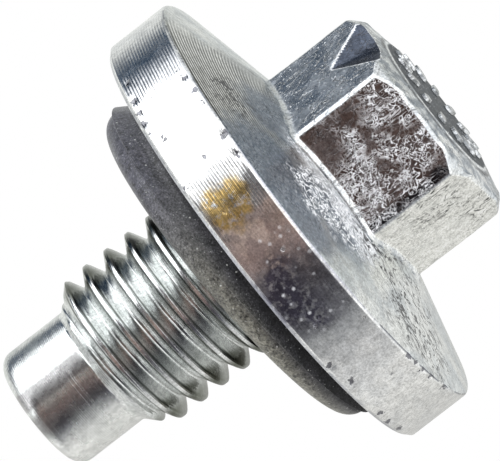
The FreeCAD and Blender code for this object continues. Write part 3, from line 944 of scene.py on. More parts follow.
for step in range(SEAL_ARC + 1):
    lean = math.pi / 2 * step / SEAL_ARC
    section.append((SEAL_BEAD - SEAL_OUTER_ROUND * (1 - math.cos(lean)),
                    seal_high - SEAL_OUTER_ROUND * (1 - math.sin(lean))))
section += [(10.6, seal_high), (9.4, seal_high)]
for step in range(SEAL_ARC + 1):
    lean = math.pi / 2 * step / SEAL_ARC
    section.append((SEAL_INNER + SEAL_INNER_ROUND * (1 - math.sin(lean)),
                    seal_high - SEAL_INNER_ROUND * (1 - math.cos(lean))))
section += [(SEAL_INNER, FLANGE + 0.9), (SEAL_INNER, FLANGE - 0.4)]
print("points in the seal's section", len(section))

# %% [markdown]
# Rubber is never as true as turned steel. A slow wave of a few hundredths of a millimetre goes round the
# free edge, and then the whole ring leans about the edge of its foot, as it does in the photograph.

# %% Turn the section, wave its edge and lean it
EDGE_WAVE = 0.0025
seal_points = []
for radius, height in section:
    seal_points.extend(circle_ring(radius, height).tolist())
seal_points = np.array(seal_points)
for number in range(len(seal_points)):
    radius = math.hypot(seal_points[number][0], seal_points[number][1])
    if radius > 12.0 and seal_points[number][2] > FLANGE + 0.5:
        wave = noise.noise(Vector(seal_points[number]) * 0.35)
        seal_points[number][:2] *= 1 + EDGE_WAVE * wave
foot_edge = Vector((-SEAL_FOOT, 0, seal_low))
lean_turn = Matrix.Rotation(SEAL_TILT, 3, Vector((0, -1, 0)))
seal_points = np.array([foot_edge + lean_turn @ (Vector(point) - foot_edge) for point in seal_points])
seal_faces = []
for number in range(len(section)):
    following = (number + 1) % len(section)
    for column in range(COLUMNS):
        after = (column + 1) % COLUMNS
        seal_faces.append([number * COLUMNS + column, number * COLUMNS + after,
                           following * COLUMNS + after, following * COLUMNS + column])
seal_mesh = solid_mesh("rubber_seal", seal_points, seal_faces)
seal_mesh.set_sharp_from_angle(angle=SHARP_SEAL)
show("rubber_seal", seal_mesh, "black_rubber", "seal_ring")
print("seal faces", len(seal_faces))

# %% [markdown]
# ## Raised marks on the head
# The head's flat middle carries a ring of short raised bars, stamped when it was forged. They could be
# placed one by one, but they repeat round a circle, so one bar is drawn once, with sides that lean in as
# a forging die leaves them, and a node tree sets it out with slightly uneven sizes.

# %% Node tree for the ring of marks
MARK_COUNT = 14
MARK_SINK = 0.1
board, given = new_group("ring_of_marks", "GeometryNodeTree", [
    ("Geometry", "Geometry", None), ("Count", "Int", 14), ("Ring Radius", "Float", 3.65),
    ("Length", "Float", 1.7), ("Width", "Float", 0.8), ("Thickness", "Float", 0.3), ("Lean", "Float", 0.12),
    ("Height", "Float", 0.0), ("Seed", "Int", 4), ("Material", "Material", None),
], [("Geometry", "Geometry", None)])
half_width = given["Width"] * 0.5
bar = board.add("GeometryNodeMeshCone", {
    "Vertices": 28, "Side Segments": 2, "Fill Segments": 1, "Radius Top": half_width,
    "Radius Bottom": half_width - given["Lean"], "Depth": given["Thickness"]})
bar_across = board.axes(board.add("GeometryNodeInputPosition"))[0]
half_stretch = (given["Length"] - given["Width"]) * 0.5
stretch = board.math("SIGN", board.math("SNAP", bar_across, 0.01)) * half_stretch
bar = board.add("GeometryNodeSetPosition", {"Geometry": bar, "Offset": board.joined(X=stretch)})
circle = board.add("GeometryNodeMeshCircle", {"Vertices": given["Count"], "Radius": given["Ring Radius"]})
circle = board.add("GeometryNodeSetPosition", {"Geometry": circle, "Offset": board.joined(Z=given["Height"])})
turned = board.add("GeometryNodeInputIndex") * (2 * math.pi) / given["Count"]
uneven = board.add("FunctionNodeRandomValue", {2: 0.86, 3: 1.06, "Seed": given["Seed"]}, output=1)
made = board.add("GeometryNodeInstanceOnPoints", {
    "Points": circle, "Instance": bar, "Rotation": board.joined(Z=turned),
    "Scale": board.joined(X=uneven, Y=uneven, Z=1.0)})
made = board.add("GeometryNodeRealizeInstances", {"Geometry": made})
made = board.add("GeometryNodeSetMaterial", {"Geometry": made, "Material": given["Material"]})
board.node("NodeGroupOutput", {"Geometry": made})

mark_mesh = mesh_from_tree("mark_bars", board.tree, {
    "Count": MARK_COUNT, "Ring Radius": 3.65, "Length": 1.7, "Width": 0.8,
    "Thickness": MARK_HEIGHT + MARK_SINK, "Lean": 0.1, "Height": 0.0, "Seed": 4})
mark_points = np.zeros(len(mark_mesh.vertices) * 3)
mark_mesh.vertices.foreach_get("co", mark_points)
mark_faces = [list(face.vertices) for face in mark_mesh.polygons]
mark_mesh = solid_mesh("head_marks", mark_points.reshape(-1, 3), mark_faces)
mark_mesh.set_sharp_from_angle(angle=SHARP_SEAL)
show("head_marks", mark_mesh, "zinc_plated_steel")
print("mark faces", len(mark_faces))

# %% [markdown]
# ## Shared effects for the finishes
# Plated steel is one metal, but it is turned on the rim, pressed on the head and rolled on the thread.
# Each finish could be a tree of its own from end to end. What they share is built once instead, as node
# groups: clouds of haze in the plating, turning lines, thin wandering lines, scattered specks and fine
# grain. Each material then sets them with its own values, so a change to one effect reaches them all.


# %% Place a group, mix and lay colours
def place_group(name, vector, values):
    """Place a shared group in a material and return wires from its outputs, by name."""
    board = vector.board
    node = board.node("ShaderNodeGroup", {"Vector": vector, **values}, node_tree=bpy.data.node_groups[name])
    return board.wires(node)


def mix_color(share, first, second):
    """Mix two colours; a plain colour is three numbers."""
    inputs = {0: share}
    for key, color in ((6, first), (7, second)):
        inputs[key] = color if isinstance(color, Wire) else (*color, 1.0)
    return share.board.add("ShaderNodeMix", inputs, output=2, data_type="RGBA")


def lay_colors(color, layers):
    """Lay colours over one another: each layer is its share and its colour, the lowest first."""
    for share, layer_color in layers:
        color = mix_color(share, color, layer_color)
    return color


print("helpers for colours", place_group.__name__, mix_color.__name__, lay_colors.__name__)

# %% [markdown]
# Zinc plating is never one even tone. Two noises, a wide one and a fine one, make soft clouds, and their
# mask also serves to make the duller places a little rougher.

# %% Group: clouds in the plating
board, given = new_group("plating_clouds", "ShaderNodeTree", [
    ("Vector", "Vector", None), ("Bright", "Color", (0.7, 0.72, 0.73, 1)),
    ("Dull", "Color", (0.5, 0.53, 0.56, 1)), ("Cloud Size", "Float", 3.0), ("Amount", "Float", 1.0),
], [("Color", "Color", None), ("Mask", "Float", None)])
wide = given["Vector"].noise(1.0 / given["Cloud Size"], detail=5.0, distortion=0.4)
fine = given["Vector"].noise(9.0 / given["Cloud Size"], detail=4.0)
cloud = (wide * 0.72 + fine * 0.28).range(0.4, 0.62)
mask = board.math("MULTIPLY", cloud, given["Amount"], clamp=True)
board.node("NodeGroupOutput", {"Color": mix_color(mask, given["Bright"], given["Dull"]), "Mask": mask})


def clouds(vector, bright, dull, cloud_size, amount):
    """Return the clouded colour and its mask."""
    return place_group("plating_clouds", vector, {
        "Bright": (*bright, 1), "Dull": (*dull, 1), "Cloud Size": cloud_size, "Amount": amount})


print("nodes", len(board.tree.nodes))

# %% [markdown]
# A lathe tool leaves one fine groove for each turn. A sine of the distance along the tool's path draws
# them evenly, and a noise in that distance makes some deeper than others, as a worn tool does.

# %% Group: turning lines left by a lathe tool
board, given = new_group("turning_lines", "ShaderNodeTree", [
    ("Vector", "Vector", None), ("Along", "Float", 0.0), ("Spacing", "Float", 0.2),
    ("Unevenness", "Float", 0.5),
], [("Height", "Float", None), ("Line", "Float", None)])
drift = given["Vector"].noise(0.25, detail=2.0)
along = (given["Along"] + drift * 0.12) / given["Spacing"]
ridge = board.math("SINE", along * (2 * math.pi))
single = board.add("ShaderNodeTexNoise", {"W": along * 0.83, "Scale": 1.0, "Detail": 3.0},
                   noise_dimensions="1D")
patchy = given["Vector"].noise(0.8).range(0.3, 0.7, 0.45, 1.0)
height = ridge * 0.5 + (single - 0.5) * (given["Unevenness"] * 3.0)
board.node("NodeGroupOutput", {"Height": height * patchy, "Line": ridge.range(-0.2, 0.9)})


def turning_lines(vector, along, spacing, unevenness):
    """Return the height and the mask of lines with a spacing in millimetres."""
    return place_group("turning_lines", vector, {
        "Along": along, "Spacing": spacing, "Unevenness": unevenness})


print("nodes", len(board.tree.nodes))

# %% [markdown]
# Scratches and the curls of the plating's crystals are thin lines that wander. A noise passes its middle
# value along such lines, so a narrow band round that value draws them, and a second noise hides some.

# %% Group: thin wandering lines
board, given = new_group("wandering_lines", "ShaderNodeTree", [
    ("Vector", "Vector", None), ("Scale", "Float", 1.0), ("Width", "Float", 0.03), ("Cover", "Float", 0.5),
], [("Mask", "Float", None)])
field = given["Vector"].noise(given["Scale"], detail=2.0, distortion=1.2)
line = 1.0 - board.math("ABSOLUTE", field - 0.5).range(given["Width"] * 0.35, given["Width"])
low = 0.72 - given["Cover"] * 0.44
shown = given["Vector"].noise(given["Scale"] * 0.37).range(low, low + 0.08)
board.node("NodeGroupOutput", {"Mask": line * shown})


def wandering_lines(vector, scale, width, cover, stretch=None):
    """Return the mask of thin lines; stretch closes them up along an axis where it is above 1."""
    if stretch is not None:
        vector = vector.vector("MULTIPLY", stretch)
    return place_group("wandering_lines", vector, {"Scale": scale, "Width": width, "Cover": cover})["Mask"]


print("nodes", len(board.tree.nodes))

# %% [markdown]
# Pits, pale spots and dust are all small scattered specks. Voronoi cells space them out, each cell's
# random colour decides whether it has one, and a noise makes their edges ragged.

# %% Group: scattered specks
board, given = new_group("specks", "ShaderNodeTree", [
    ("Vector", "Vector", None), ("Spacing", "Float", 0.6), ("Size", "Float", 0.25), ("Share", "Float", 0.5),
], [("Mask", "Float", None)])
cells = board.wires(board.node("ShaderNodeTexVoronoi", {
    "Vector": given["Vector"], "Scale": 1.0 / given["Spacing"]}))
chance = board.add("ShaderNodeSeparateColor", {0: cells["Color"]})
reach = cells["Distance"] + given["Vector"].noise(9.0, detail=2.0) * 0.18
spot = 1.0 - reach.range(given["Size"] * 0.7, given["Size"] + 0.12)
board.node("NodeGroupOutput", {"Mask": spot * board.math("LESS_THAN", chance, given["Share"])})


def specks(vector, spacing, size, share):
    """Return the mask of specks: spacing in millimetres, size as a share of it, and how many show."""
    return place_group("specks", vector, {"Spacing": spacing, "Size": size, "Share": share})["Mask"]


print("nodes", len(board.tree.nodes))

# %% [markdown]
# Under all of that, a plated or moulded surface has a fine grain. It makes each colour a little lighter
# and darker from place to place, so it is laid over the finished colour of every material.

# %% Group: fine grain
board, given = new_group("fine_grain", "ShaderNodeTree", [
    ("Vector", "Vector", None), ("Color", "Color", (0.7, 0.7, 0.7, 1)), ("Amount", "Float", 0.3),
], [("Color", "Color", None)])
grain = given["Vector"].noise(6.5, detail=4.0, roughness=0.65)
blotch = given["Vector"].noise(1.7, detail=4.0)
gain = 1.0 + ((grain - 0.5) * 3.2 + (blotch - 0.5) * 1.6) * given["Amount"]
board.node("NodeGroupOutput", {"Color": given["Color"].vector("SCALE", most(gain, 0.05))})


def fine_grain(vector, color, amount):
    """Return a colour with fine grain in it."""
    return place_group("fine_grain", vector, {"Color": color, "Amount": amount})["Color"]


print("shader groups", [group.name for group in bpy.data.node_groups if group.type == "SHADER"])

# %% [markdown]
# Every material starts the same way. Its patterns follow the place on the piece in millimetres, from
# Object coordinates, so they stay with the metal when the view turns. A worn or stained part is a soft
# ragged mask round one place, and that place is found from a pixel of the photograph.


# %% Start a material, mask a place, add relief
def new_finish(name, metallic, roughness):
    """Start a material; return it, its board, its shader and the place on the piece in millimetres."""
    material = bpy.data.materials.new(name)
    material.use_nodes = True
    board = NodeBoard(material.node_tree)
    shader = material.node_tree.nodes["Principled BSDF"]
    shader.inputs["Metallic"].default_value = metallic
    shader.inputs["Roughness"].default_value = roughness
    coordinates = board.add("ShaderNodeTexCoord", output=3)
    return material, board, shader, coordinates.vector("SCALE", 1 / MM)


def near(vector, place, radius, ragged=0.8):
    """Return a mask that is 1 around a named place on the piece and 0 past a ragged edge."""
    wander = vector.noise(0.9, detail=4.0) - 0.5
    distance = vector.vector("DISTANCE", tuple(place)) + wander * (radius * ragged * 2)
    return 1.0 - distance.range(radius * 0.6, radius * 1.15)


def from_axis(vector):
    """Return the distance from the plug's axis."""
    return vector.vector("MULTIPLY", (1.0, 1.0, 0.0)).vector("LENGTH")


def add_bump(shader, height, depth_mm):
    """Feed a height of 0 to 1, worth depth_mm millimetres, to the shader's normal."""
    board = height.board
    bump = board.add("ShaderNodeBump", {"Height": height, "Strength": 1.0, "Distance": depth_mm * MM})
    board.connect(bump, shader.inputs["Normal"])


print("helpers for materials", new_finish.__name__, near.__name__, add_bump.__name__)

# %% [markdown]
# ### Turned rim
# The rim was turned on a lathe, so it carries fine even lines round the axis. The plating over it has
# gone yellow in one patch, brown beside it, and is dark with pale spots further round. Its two edges
# were broken with a tool and are rubbed bright. An image could be wrapped round it, but masks at real
# places keep their size and edge at any distance, and each stain stays a value that can be changed.

# %% Rim finish
RIM_YELLOW = (229, 204)
RIM_BROWN = (258, 238)
RIM_DARK = (302, 288)
RIM_RUBBED = (290, 235)
RIM_LINED = (165, 80)
rim_finish, board, shader, vector = new_finish("turned_rim", 1.0, 0.2)
level = board.axes(vector)[2]
lines = turning_lines(vector, level, 0.205, 0.35)
tone = clouds(vector, (0.79, 0.79, 0.78), (0.64, 0.65, 0.66), 4.0, 0.8)
yellow = near(vector, on_rim(RIM_YELLOW), 1.8, ragged=0.6)
brown = near(vector, on_rim(RIM_BROWN), 2.6)
dark = near(vector, on_rim(RIM_DARK), 3.3, ragged=0.5) * level.range(RIM_TOP + 0.6, RIM_TOP + 2.8, 0.6, 1.0)
stained = most(dark, brown * 0.6)
stain = vector.noise(1.9, detail=6.0, roughness=0.65).range(0.33, 0.52)
smudge = vector.noise(0.9, detail=5.0).range(0.42, 0.58)
mottle = vector.noise(2.3, detail=4.0, roughness=0.6).range(0.52, 0.62)
spots = specks(vector, 0.62, 0.27, 0.55)
pits = specks(vector, 1.3, 0.12, 0.4)

# The edges are rubbed bright beside the stains and grimy elsewhere
near_edge = 1.0 - level.range(RIM_TOP + 0.06, RIM_TOP + 0.15)
far_edge = level.range(FLANGE - 0.26, FLANGE - 0.1)
rubbed_place = near(vector, on_rim(RIM_RUBBED), 7.5, ragged=0.2)
worn_edge = vector.noise(0.9, detail=4.0).range(0.36, 0.5)
rubbed = most(near_edge * rubbed_place, far_edge * most(rubbed_place * 0.8, worn_edge * 0.5))
grimy = most(near_edge, far_edge * 0.4) * (1.0 - rubbed_place) * worn_edge

# Painted shade sits in the nicks, with a torn outline
nicked = board.add("ShaderNodeAttribute", output="Fac", attribute_name="nicked")
torn = (vector.noise(3.4, detail=4.0) - 0.5) * 2.4
nick_shade_mask = nicked.range(0.01, 0.05) * (nicked + torn).range(0.42, 0.6)
color = lay_colors(tone["Color"], [
    (brown * 0.6, (0.88, 0.72, 0.62)),
    (brown * smudge * 0.5, (0.25, 0.21, 0.24)),
    (yellow * 0.95 * stain, (0.62, 0.43, 0.15)),
    (dark * (0.35 + stain * 0.65), (0.105, 0.10, 0.135)),
    (dark * mottle * 0.35, (0.50, 0.51, 0.56)),
    (stained * spots * 0.85, (0.85, 0.87, 0.9)),
    (pits * 0.7, (0.12, 0.12, 0.14)),
    (rubbed * 0.85, (0.46, 0.47, 0.53)),
    (grimy * 0.8, (0.10, 0.11, 0.14)),
    (nick_shade_mask * 0.85, (0.10, 0.10, 0.12)),
])
board.connect(fine_grain(vector, color, 0.5), shader.inputs["Base Color"])
board.connect(1.0 - stained * spots * 0.7, shader.inputs["Metallic"])
board.connect(0.16 + tone["Mask"] * 0.1 + most(rubbed, stained) * 0.12, shader.inputs["Roughness"])
lined = near(vector, on_rim(RIM_LINED), 13.5, ragged=0.15)
line_share = 0.08 + lined * (0.5 - most(dark, brown) * 0.4)
relief = lines["Height"] * line_share - pits * 1.5 - nick_shade_mask * 1.2 + vector.noise(0.7, detail=2.0) * 1.2
add_bump(shader, relief, 0.022)
print("rim nodes", len(board.tree.nodes))

# %% [markdown]
# ### Cone of the flange
# The cone was turned too, with finer lines, and it is hazier: parts are smooth blue-grey, parts have a
# frosty bloom of zinc crystals, and one side is scratched and pitted. It is the same metal as the rim,
# but its lines follow the distance from the axis, so it gets a material of its own with the same groups.

# %% Cone finish: its parts
CONE_LINED = (218, 84)
CONE_SHADED = (240, 112)
CONE_SHADE_BEHIND_FLAT = (254, 82)
CONE_SMOOTH_LOW = (270, 165)
CONE_SMOOTH_HIGH = (277, 118)
CONE_BLUE_LEFT = (300, 215)
CONE_BLUE_RIGHT = (342, 222)
CONE_FROST = (322, 198)
CONE_BLOOM = (352, 225)
CONE_FOOT_HIGHLIGHT = (312, 160)
CONE_WORN_EDGE = (415, 315)
CONE_WORN_MIDDLE = (388, 262)
CONE_SCORED = (230, 95)
cone_finish, board, shader, vector = new_finish("turned_cone", 1.0, 0.3)
tone = clouds(vector, (0.72, 0.73, 0.72), (0.52, 0.55, 0.57), 3.2, 0.9)
lines = turning_lines(vector, from_axis(vector), 0.27, 0.5)
lined_part = near(vector, on_cone(CONE_LINED), 7.2, ragged=0.25)
shaded_part = near(vector, on_cone(CONE_SHADED), 5.0, ragged=0.3)
shade_behind_flat = near(vector, on_cone(CONE_SHADE_BEHIND_FLAT), 3.4, ragged=0.3)
smooth_part = most(near(vector, on_cone(CONE_SMOOTH_LOW), 4.6, ragged=0.35),
                   near(vector, on_cone(CONE_SMOOTH_HIGH), 3.6, ragged=0.35))
blue_part = most(near(vector, on_cone(CONE_BLUE_LEFT), 3.4, ragged=0.35),
                 near(vector, on_cone(CONE_BLUE_RIGHT), 3.6, ragged=0.35))
frost_part = near(vector, on_cone(CONE_FROST), 3.1)
bloom_part = near(vector, on_cone(CONE_BLOOM), 3.0, ragged=0.4)
foot_highlight_part = near(vector, on_cone(CONE_FOOT_HIGHLIGHT), 3.2, ragged=0.3)
worn_part = most(near(vector, on_cone(CONE_WORN_EDGE), 4.8), near(vector, on_cone(CONE_WORN_MIDDLE), 3.8),
                 near(vector, on_cone(CONE_SCORED), 2.3))
print("cone parts", len(board.tree.nodes), "nodes so far")

# %% [markdown]
# At the foot of the hexagon's near flat the bloom carries a painted highlight along the fillet, where it
# follows the flat's straight edge, so that strip is measured from the flat and not from the axis.

# %% Cone finish: frost, wear and colours
crystals = wandering_lines(vector, 1.9, 0.075, 1.0)
scratches = wandering_lines(vector, 1.2, 0.045, 1.0, stretch=(0.5, 1.0, 1.6))
worn = worn_part * most(specks(vector, 0.42, 0.21, 0.5), scratches)
frost_and_foot_highlight = most(frost_part, bloom_part, smooth_part * 0.12) * crystals
to_right, to_back, _ = board.axes(vector)
foot_width = 8.0 + to_right * -0.22
foot_edge = (to_back * -1.0).range(foot_width + 0.4, foot_width + 1.5)
broken = vector.noise(4.6, detail=4.0).range(0.42, 0.58, 0.3, 1.0)
# Painted highlight along the fillet at the near flat's foot, mixed into the frost.
foot = broken * most(bloom_part, foot_highlight_part) * (1.0 - foot_edge)
frost_and_foot_highlight = most(frost_and_foot_highlight, foot * lines["Line"].range(0.0, 1.0, 0.72, 1.0))
line_cover = vector.noise(1.3, detail=4.0).range(0.34, 0.6)
# The turning lines are painted: a painted highlight along each line and painted shade in the grooves.
line_highlight = lined_part * lines["Line"].range(0.35, 0.75) * (0.5 + line_cover * 0.5)
groove_shade = (1.0 - lines["Line"].range(0.0, 0.3)) * lined_part
haze = vector.noise(5.5, detail=4.0).range(0.5, 0.68)
color = lay_colors(tone["Color"], [
    (lined_part * 0.55, (0.34, 0.34, 0.325)),
    # Painted shade on the shaded part and on the part behind the flat.
    (shaded_part * 0.9, (0.15, 0.15, 0.14)),
    (shade_behind_flat * 0.85, (0.19, 0.205, 0.215)),
    (line_highlight, (1.0, 1.0, 0.98)),
    (groove_shade * 0.85, (0.07, 0.07, 0.07)),
    (smooth_part * 0.92, (0.06, 0.085, 0.12)),
    (blue_part * 0.9, (0.125, 0.155, 0.19)),
    (most(smooth_part, blue_part) * haze * 0.3, (0.6, 0.65, 0.72)),
    (smooth_part * specks(vector, 0.34, 0.2, 0.35) * 0.4, (0.55, 0.6, 0.68)),
    (frost_and_foot_highlight, (0.95, 0.96, 0.99)),
    (worn, (0.05, 0.05, 0.055)),
])
board.connect(fine_grain(vector, color, 0.6), shader.inputs["Base Color"])
unmirrored = most(frost_and_foot_highlight, most(blue_part, smooth_part * 0.6) * 0.7)
board.connect(1.0 - unmirrored * 0.85, shader.inputs["Metallic"])
board.connect(0.25 + tone["Mask"] * 0.1 + frost_and_foot_highlight * 0.3, shader.inputs["Roughness"])
line_share = 1.0 - smooth_part * 0.85 + lined_part * 1.6
add_bump(shader, lines["Height"] * line_share * 0.5 - worn * 1.5 + frost_and_foot_highlight * 0.8, 0.015)
print("cone nodes", len(board.tree.nodes))

# %% [markdown]
# ### Forged head
# The head's flats were pressed, not cut. The near flat shows a dense pattern of short bright curls over a
# painted dark brown reflection, the dented one is speckled, and the third is pale with light scratches.
# Each flat could have its own material, but the crown's rounded edges run across them all, so one
# material tells the flats apart by the way that they face.

# %% Head finish: the near flat and its curls
NEAR_FLAT = -90
PALE_FLAT = -150
HEAD_PLAIN_STRIP = (318, 150)
HEAD_BARE_LEFT = (345, 112)
HEAD_BARE_RIGHT = (445, 165)
HEAD_LOWER_CORNER = (440, 176)
HEAD_SCORED_LEFT = (434, 206)
HEAD_SCORED_RIGHT = (480, 203)
head_finish, board, shader, vector = new_finish("forged_head", 1.0, 0.3)
tone = clouds(vector, (0.74, 0.75, 0.75), (0.54, 0.57, 0.60), 1.6, 0.9)
outward = board.add("ShaderNodeNewGeometry", output="Normal")
on_near_flat = outward.vector("DOT_PRODUCT", (0.0, -1.0, 0.0)).range(0.965, 0.985)
on_pale_flat = outward.vector("DOT_PRODUCT", (-0.866, -0.5, 0.0)).range(0.86, 0.96)
curls = wandering_lines(vector, 1.5, 0.036, 0.85)
fine_curls = wandering_lines(vector, 2.5, 0.042, 0.7)
combed_curls = wandering_lines(vector, 0.9, 0.03, 0.6, stretch=(3.2, 1.0, 0.55))
bare_part = most(near(vector, on_flat(HEAD_BARE_LEFT, NEAR_FLAT), 1.5, ragged=0.4),
                 near(vector, on_flat(HEAD_BARE_RIGHT, NEAR_FLAT), 1.1, ragged=0.4))
plain_strip = near(vector, on_flat(HEAD_PLAIN_STRIP, NEAR_FLAT), 2.1, ragged=0.3)
clump = vector.noise(0.6).range(0.37, 0.48, 0.12, 1.0) * (1.0 - bare_part * 0.8)
curl_mask = most(curls, fine_curls * 0.85, combed_curls * 0.6) * clump
curl_mask = curl_mask * (on_near_flat * (1.0 - plain_strip * 0.95))
corner_side = near(vector, on_flat(HEAD_LOWER_CORNER, NEAR_FLAT), 0.7, ragged=0.3)
near_flat_ends = on_near_flat * most(board.axes(vector)[0].range(-2.9, -3.6), corner_side)
print("curls on the near flat", len(board.tree.nodes), "nodes so far")

# %% [markdown]
# The crown is dull, with a bright ring where the die's flat middle ended and a dark one outside it. The
# dent is dark inside and has a painted highlight along its torn outline. Specks and scratches lie over
# both side flats.

# %% Head finish: crown, dent and wear
level = board.axes(vector)[2]
radius = from_axis(vector)
on_crown = board.axes(outward)[2].range(-0.75, -0.9)
on_flat_top = level.range(MARK_HEIGHT + 0.08, MARK_HEIGHT + 0.02)
on_mark = level.range(MARK_HEIGHT - 0.03, MARK_HEIGHT - 0.08)
# The gap between the marks carries painted shadow.
gap = on_flat_top * (1.0 - on_mark)
patchy = vector.noise(1.5, detail=4.0).range(0.36, 0.54, 0.2, 1.0)
pale_ring = on_crown * radius.range(4.85, 5.0) * radius.range(5.35, 5.2) * patchy
dark_ring = on_crown * radius.range(5.3, 5.42) * radius.range(5.75, 5.6) * patchy
dented = board.add("ShaderNodeAttribute", output="Fac", attribute_name="dented")
dent_part = dented.range(0.3, 0.9)
dent_edge_highlight = dented.range(0.05, 0.25) * (1.0 - dented.range(0.35, 0.8))
speck_mask = most(specks(vector, 0.36, 0.2, 0.4), specks(vector, 0.2, 0.22, 0.4))
speck_mask = speck_mask * (1.0 - most(on_near_flat, dent_part * 0.8))
scratches = wandering_lines(vector, 0.9, 0.016, 0.7, stretch=(1.4, 1.0, 0.5))
scored = wandering_lines(vector, 1.9, 0.03, 0.8, stretch=(0.8, 1.0, 0.35))
scored_part = most(near(vector, on_flat(HEAD_SCORED_LEFT, PALE_FLAT), 2.6),
                   near(vector, on_flat(HEAD_SCORED_RIGHT, PALE_FLAT), 1.7))
scored_mask = scored_part * most(scored, specks(vector, 0.3, 0.2, 0.4)) * on_pale_flat
wear_share = 0.6 - on_pale_flat * 0.5
print("crown, dent and wear", len(board.tree.nodes), "nodes so far")

# %% [markdown]
# Last come the colours, from the bare metal up. The curls are laid over the grain, because they are
# bright crystal and keep one clean tone.

# %% Head finish: colours and relief
color = lay_colors(tone["Color"], [
    (on_pale_flat * 0.85, (0.88, 0.88, 0.84)),
    # Painted dark brown reflection on the near flat.
    (on_near_flat * 0.94, (0.155, 0.125, 0.118)),
    (near_flat_ends, (0.03, 0.03, 0.035)),
    (on_crown * vector.noise(1.2, detail=5.0).range(0.4, 0.58), (0.27, 0.30, 0.34)),
    (pale_ring, (0.95, 0.96, 0.97)),
    (dark_ring * 0.9, (0.05, 0.055, 0.065)),
    # Painted shade on the flat between the marks, a painted highlight on the marks, painted shadow in the
    # gaps.
    (on_flat_top * 0.9, (0.09, 0.10, 0.11)),
    (on_mark * vector.noise(2.2).range(0.42, 0.6, 0.1, 0.8), (0.86, 0.88, 0.9)),
    (gap * 0.8, (0.035, 0.04, 0.045)),
    (dent_part * 0.95, (0.055, 0.068, 0.10)),
    (speck_mask * wear_share, (0.9, 0.92, 0.95)),
    # Painted highlight along the dent's torn outline.
    (dent_edge_highlight * 0.7, (0.95, 0.96, 0.98)),
    (scratches * wear_share, (0.12, 0.12, 0.13)),
    (scored_mask * 0.9, (0.06, 0.06, 0.06)),
])
color = mix_color(curl_mask, fine_grain(vector, color, 0.55), (0.97, 0.97, 1.0))
board.connect(color, shader.inputs["Base Color"])
unmirrored = most(curl_mask, dent_edge_highlight, speck_mask * 0.5, gap * 0.9)
board.connect(1.0 - unmirrored * 0.85, shader.inputs["Metallic"])
board.connect(0.22 + tone["Mask"] * 0.1 + most(curl_mask, gap) * 0.35, shader.inputs["Roughness"])
relief = curl_mask * 1.6 + speck_mask * 0.4 - scratches * 0.8 + vector.noise(3.0, detail=5.0) * 0.9
add_bump(shader, relief, 0.025)
print("head nodes", len(board.tree.nodes))

# %% [markdown]
# ### Thread, neck and pilot
# A rolled thread is smoother than a turned face. Its flanks keep a soft grey-green haze, with a painted
# highlight along the crests, painted shade just under them and a painted dark reflection on the thread's
# sides, and the pilot has hair-fine lines round the axis with a painted dark reflection in two bands. One
# material serves all three, told apart by height, because they are one turned and rolled length.

# %% Shank finish: the thread's parts
shank_finish, board, shader, vector = new_finish("rolled_shank", 1.0, 0.2)
to_right, to_back, level = board.axes(vector)
radius = from_axis(vector)
lines = turning_lines(vector, level, 0.13, 0.8)
tone = clouds(vector, (0.78, 0.79, 0.78), (0.60, 0.63, 0.61), 2.2, 0.9)
pits = specks(vector, 0.7, 0.14, 0.35)
in_thread = level.range(PILOT_FOOT, PILOT_FOOT - 0.4) * level.range(
    FLANGE + NECK_LENGTH, FLANGE + NECK_LENGTH + 0.5)
crest = radius.range(CREST_RADIUS - 0.12, CREST_RADIUS - 0.03)
flank_top = radius.range(CREST_RADIUS - 0.34, CREST_RADIUS - 0.2) * (
    1.0 - radius.range(CREST_RADIUS - 0.16, CREST_RADIUS - 0.1))
side = board.math("ABSOLUTE", to_right)
side_dark_reflection = in_thread * side.range(CREST_RADIUS * 0.72, CREST_RADIUS * 0.9)
print("thread parts", len(board.tree.nodes), "nodes so far")

# %% [markdown]
# The pilot carries a painted dark reflection on its near side in two upright bands, with a painted
# highlight on the side next to them. It is measured across the plug, and the fine lines break it into
# streaks.

# %% Shank finish: pilot, colours and relief
on_pilot = level.range(PILOT_FOOT, PILOT_FOOT + 0.3)
wide_band = to_right.range(-1.7, -1.1) * to_right.range(0.3, -0.2)
edge_band = to_right.range(0.45, 0.7) * to_right.range(1.95, 1.7)
streaks = lines["Line"].range(0.0, 1.0, 0.6, 1.0)
pilot_dark_reflection = on_pilot * to_back.range(0.0, -1.0) * most(wide_band, edge_band) * streaks
color = lay_colors(tone["Color"], [
    (in_thread * 0.5, (0.55, 0.565, 0.56)),
    # Painted shade under the crests, painted highlight on the crests, painted dark reflection on the sides.
    (flank_top * 0.85, (0.07, 0.08, 0.07)),
    (crest * 0.7, (0.80, 0.81, 0.81)),
    (side_dark_reflection * 0.92, (0.05, 0.056, 0.03)),
    (pits * 0.5, (0.22, 0.23, 0.24)),
    # Painted highlight on one side of the pilot, then its painted dark reflection in two bands.
    (on_pilot * to_right.range(-1.4, -2.2) * 0.75, (0.95, 0.96, 0.94)),
    (pilot_dark_reflection * 0.85, (0.27, 0.25, 0.255)),
    (on_pilot * lines["Line"].range(0.0, 1.0, 0.22, 0.0), (0.12, 0.12, 0.12)),
])
board.connect(fine_grain(vector, color, 0.4), shader.inputs["Base Color"])
board.connect(0.15 + on_pilot * 0.08 + tone["Mask"] * 0.1, shader.inputs["Roughness"])
add_bump(shader, lines["Height"] * 0.7 - pits + vector.noise(1.2) * 2.5, 0.007)
for finish in (head_finish, cone_finish, rim_finish, shank_finish):
    plug_mesh.materials.append(finish)
mark_mesh.materials.append(head_finish)
print("plug finishes", [material.name for material in plug_mesh.materials])

# %% [markdown]
# ### Moulded rubber
# Black rubber is never quite black: it is a very dark grey with a soft sheen, and pale dust clings to it.
# Painted shade darkens it by the flange, and its outer half carries a painted sheen, olive-grey towards -X
# and purple-grey towards +X. One shader with no metal in it does for this, and the places are measured
# square to the ring, which leans.

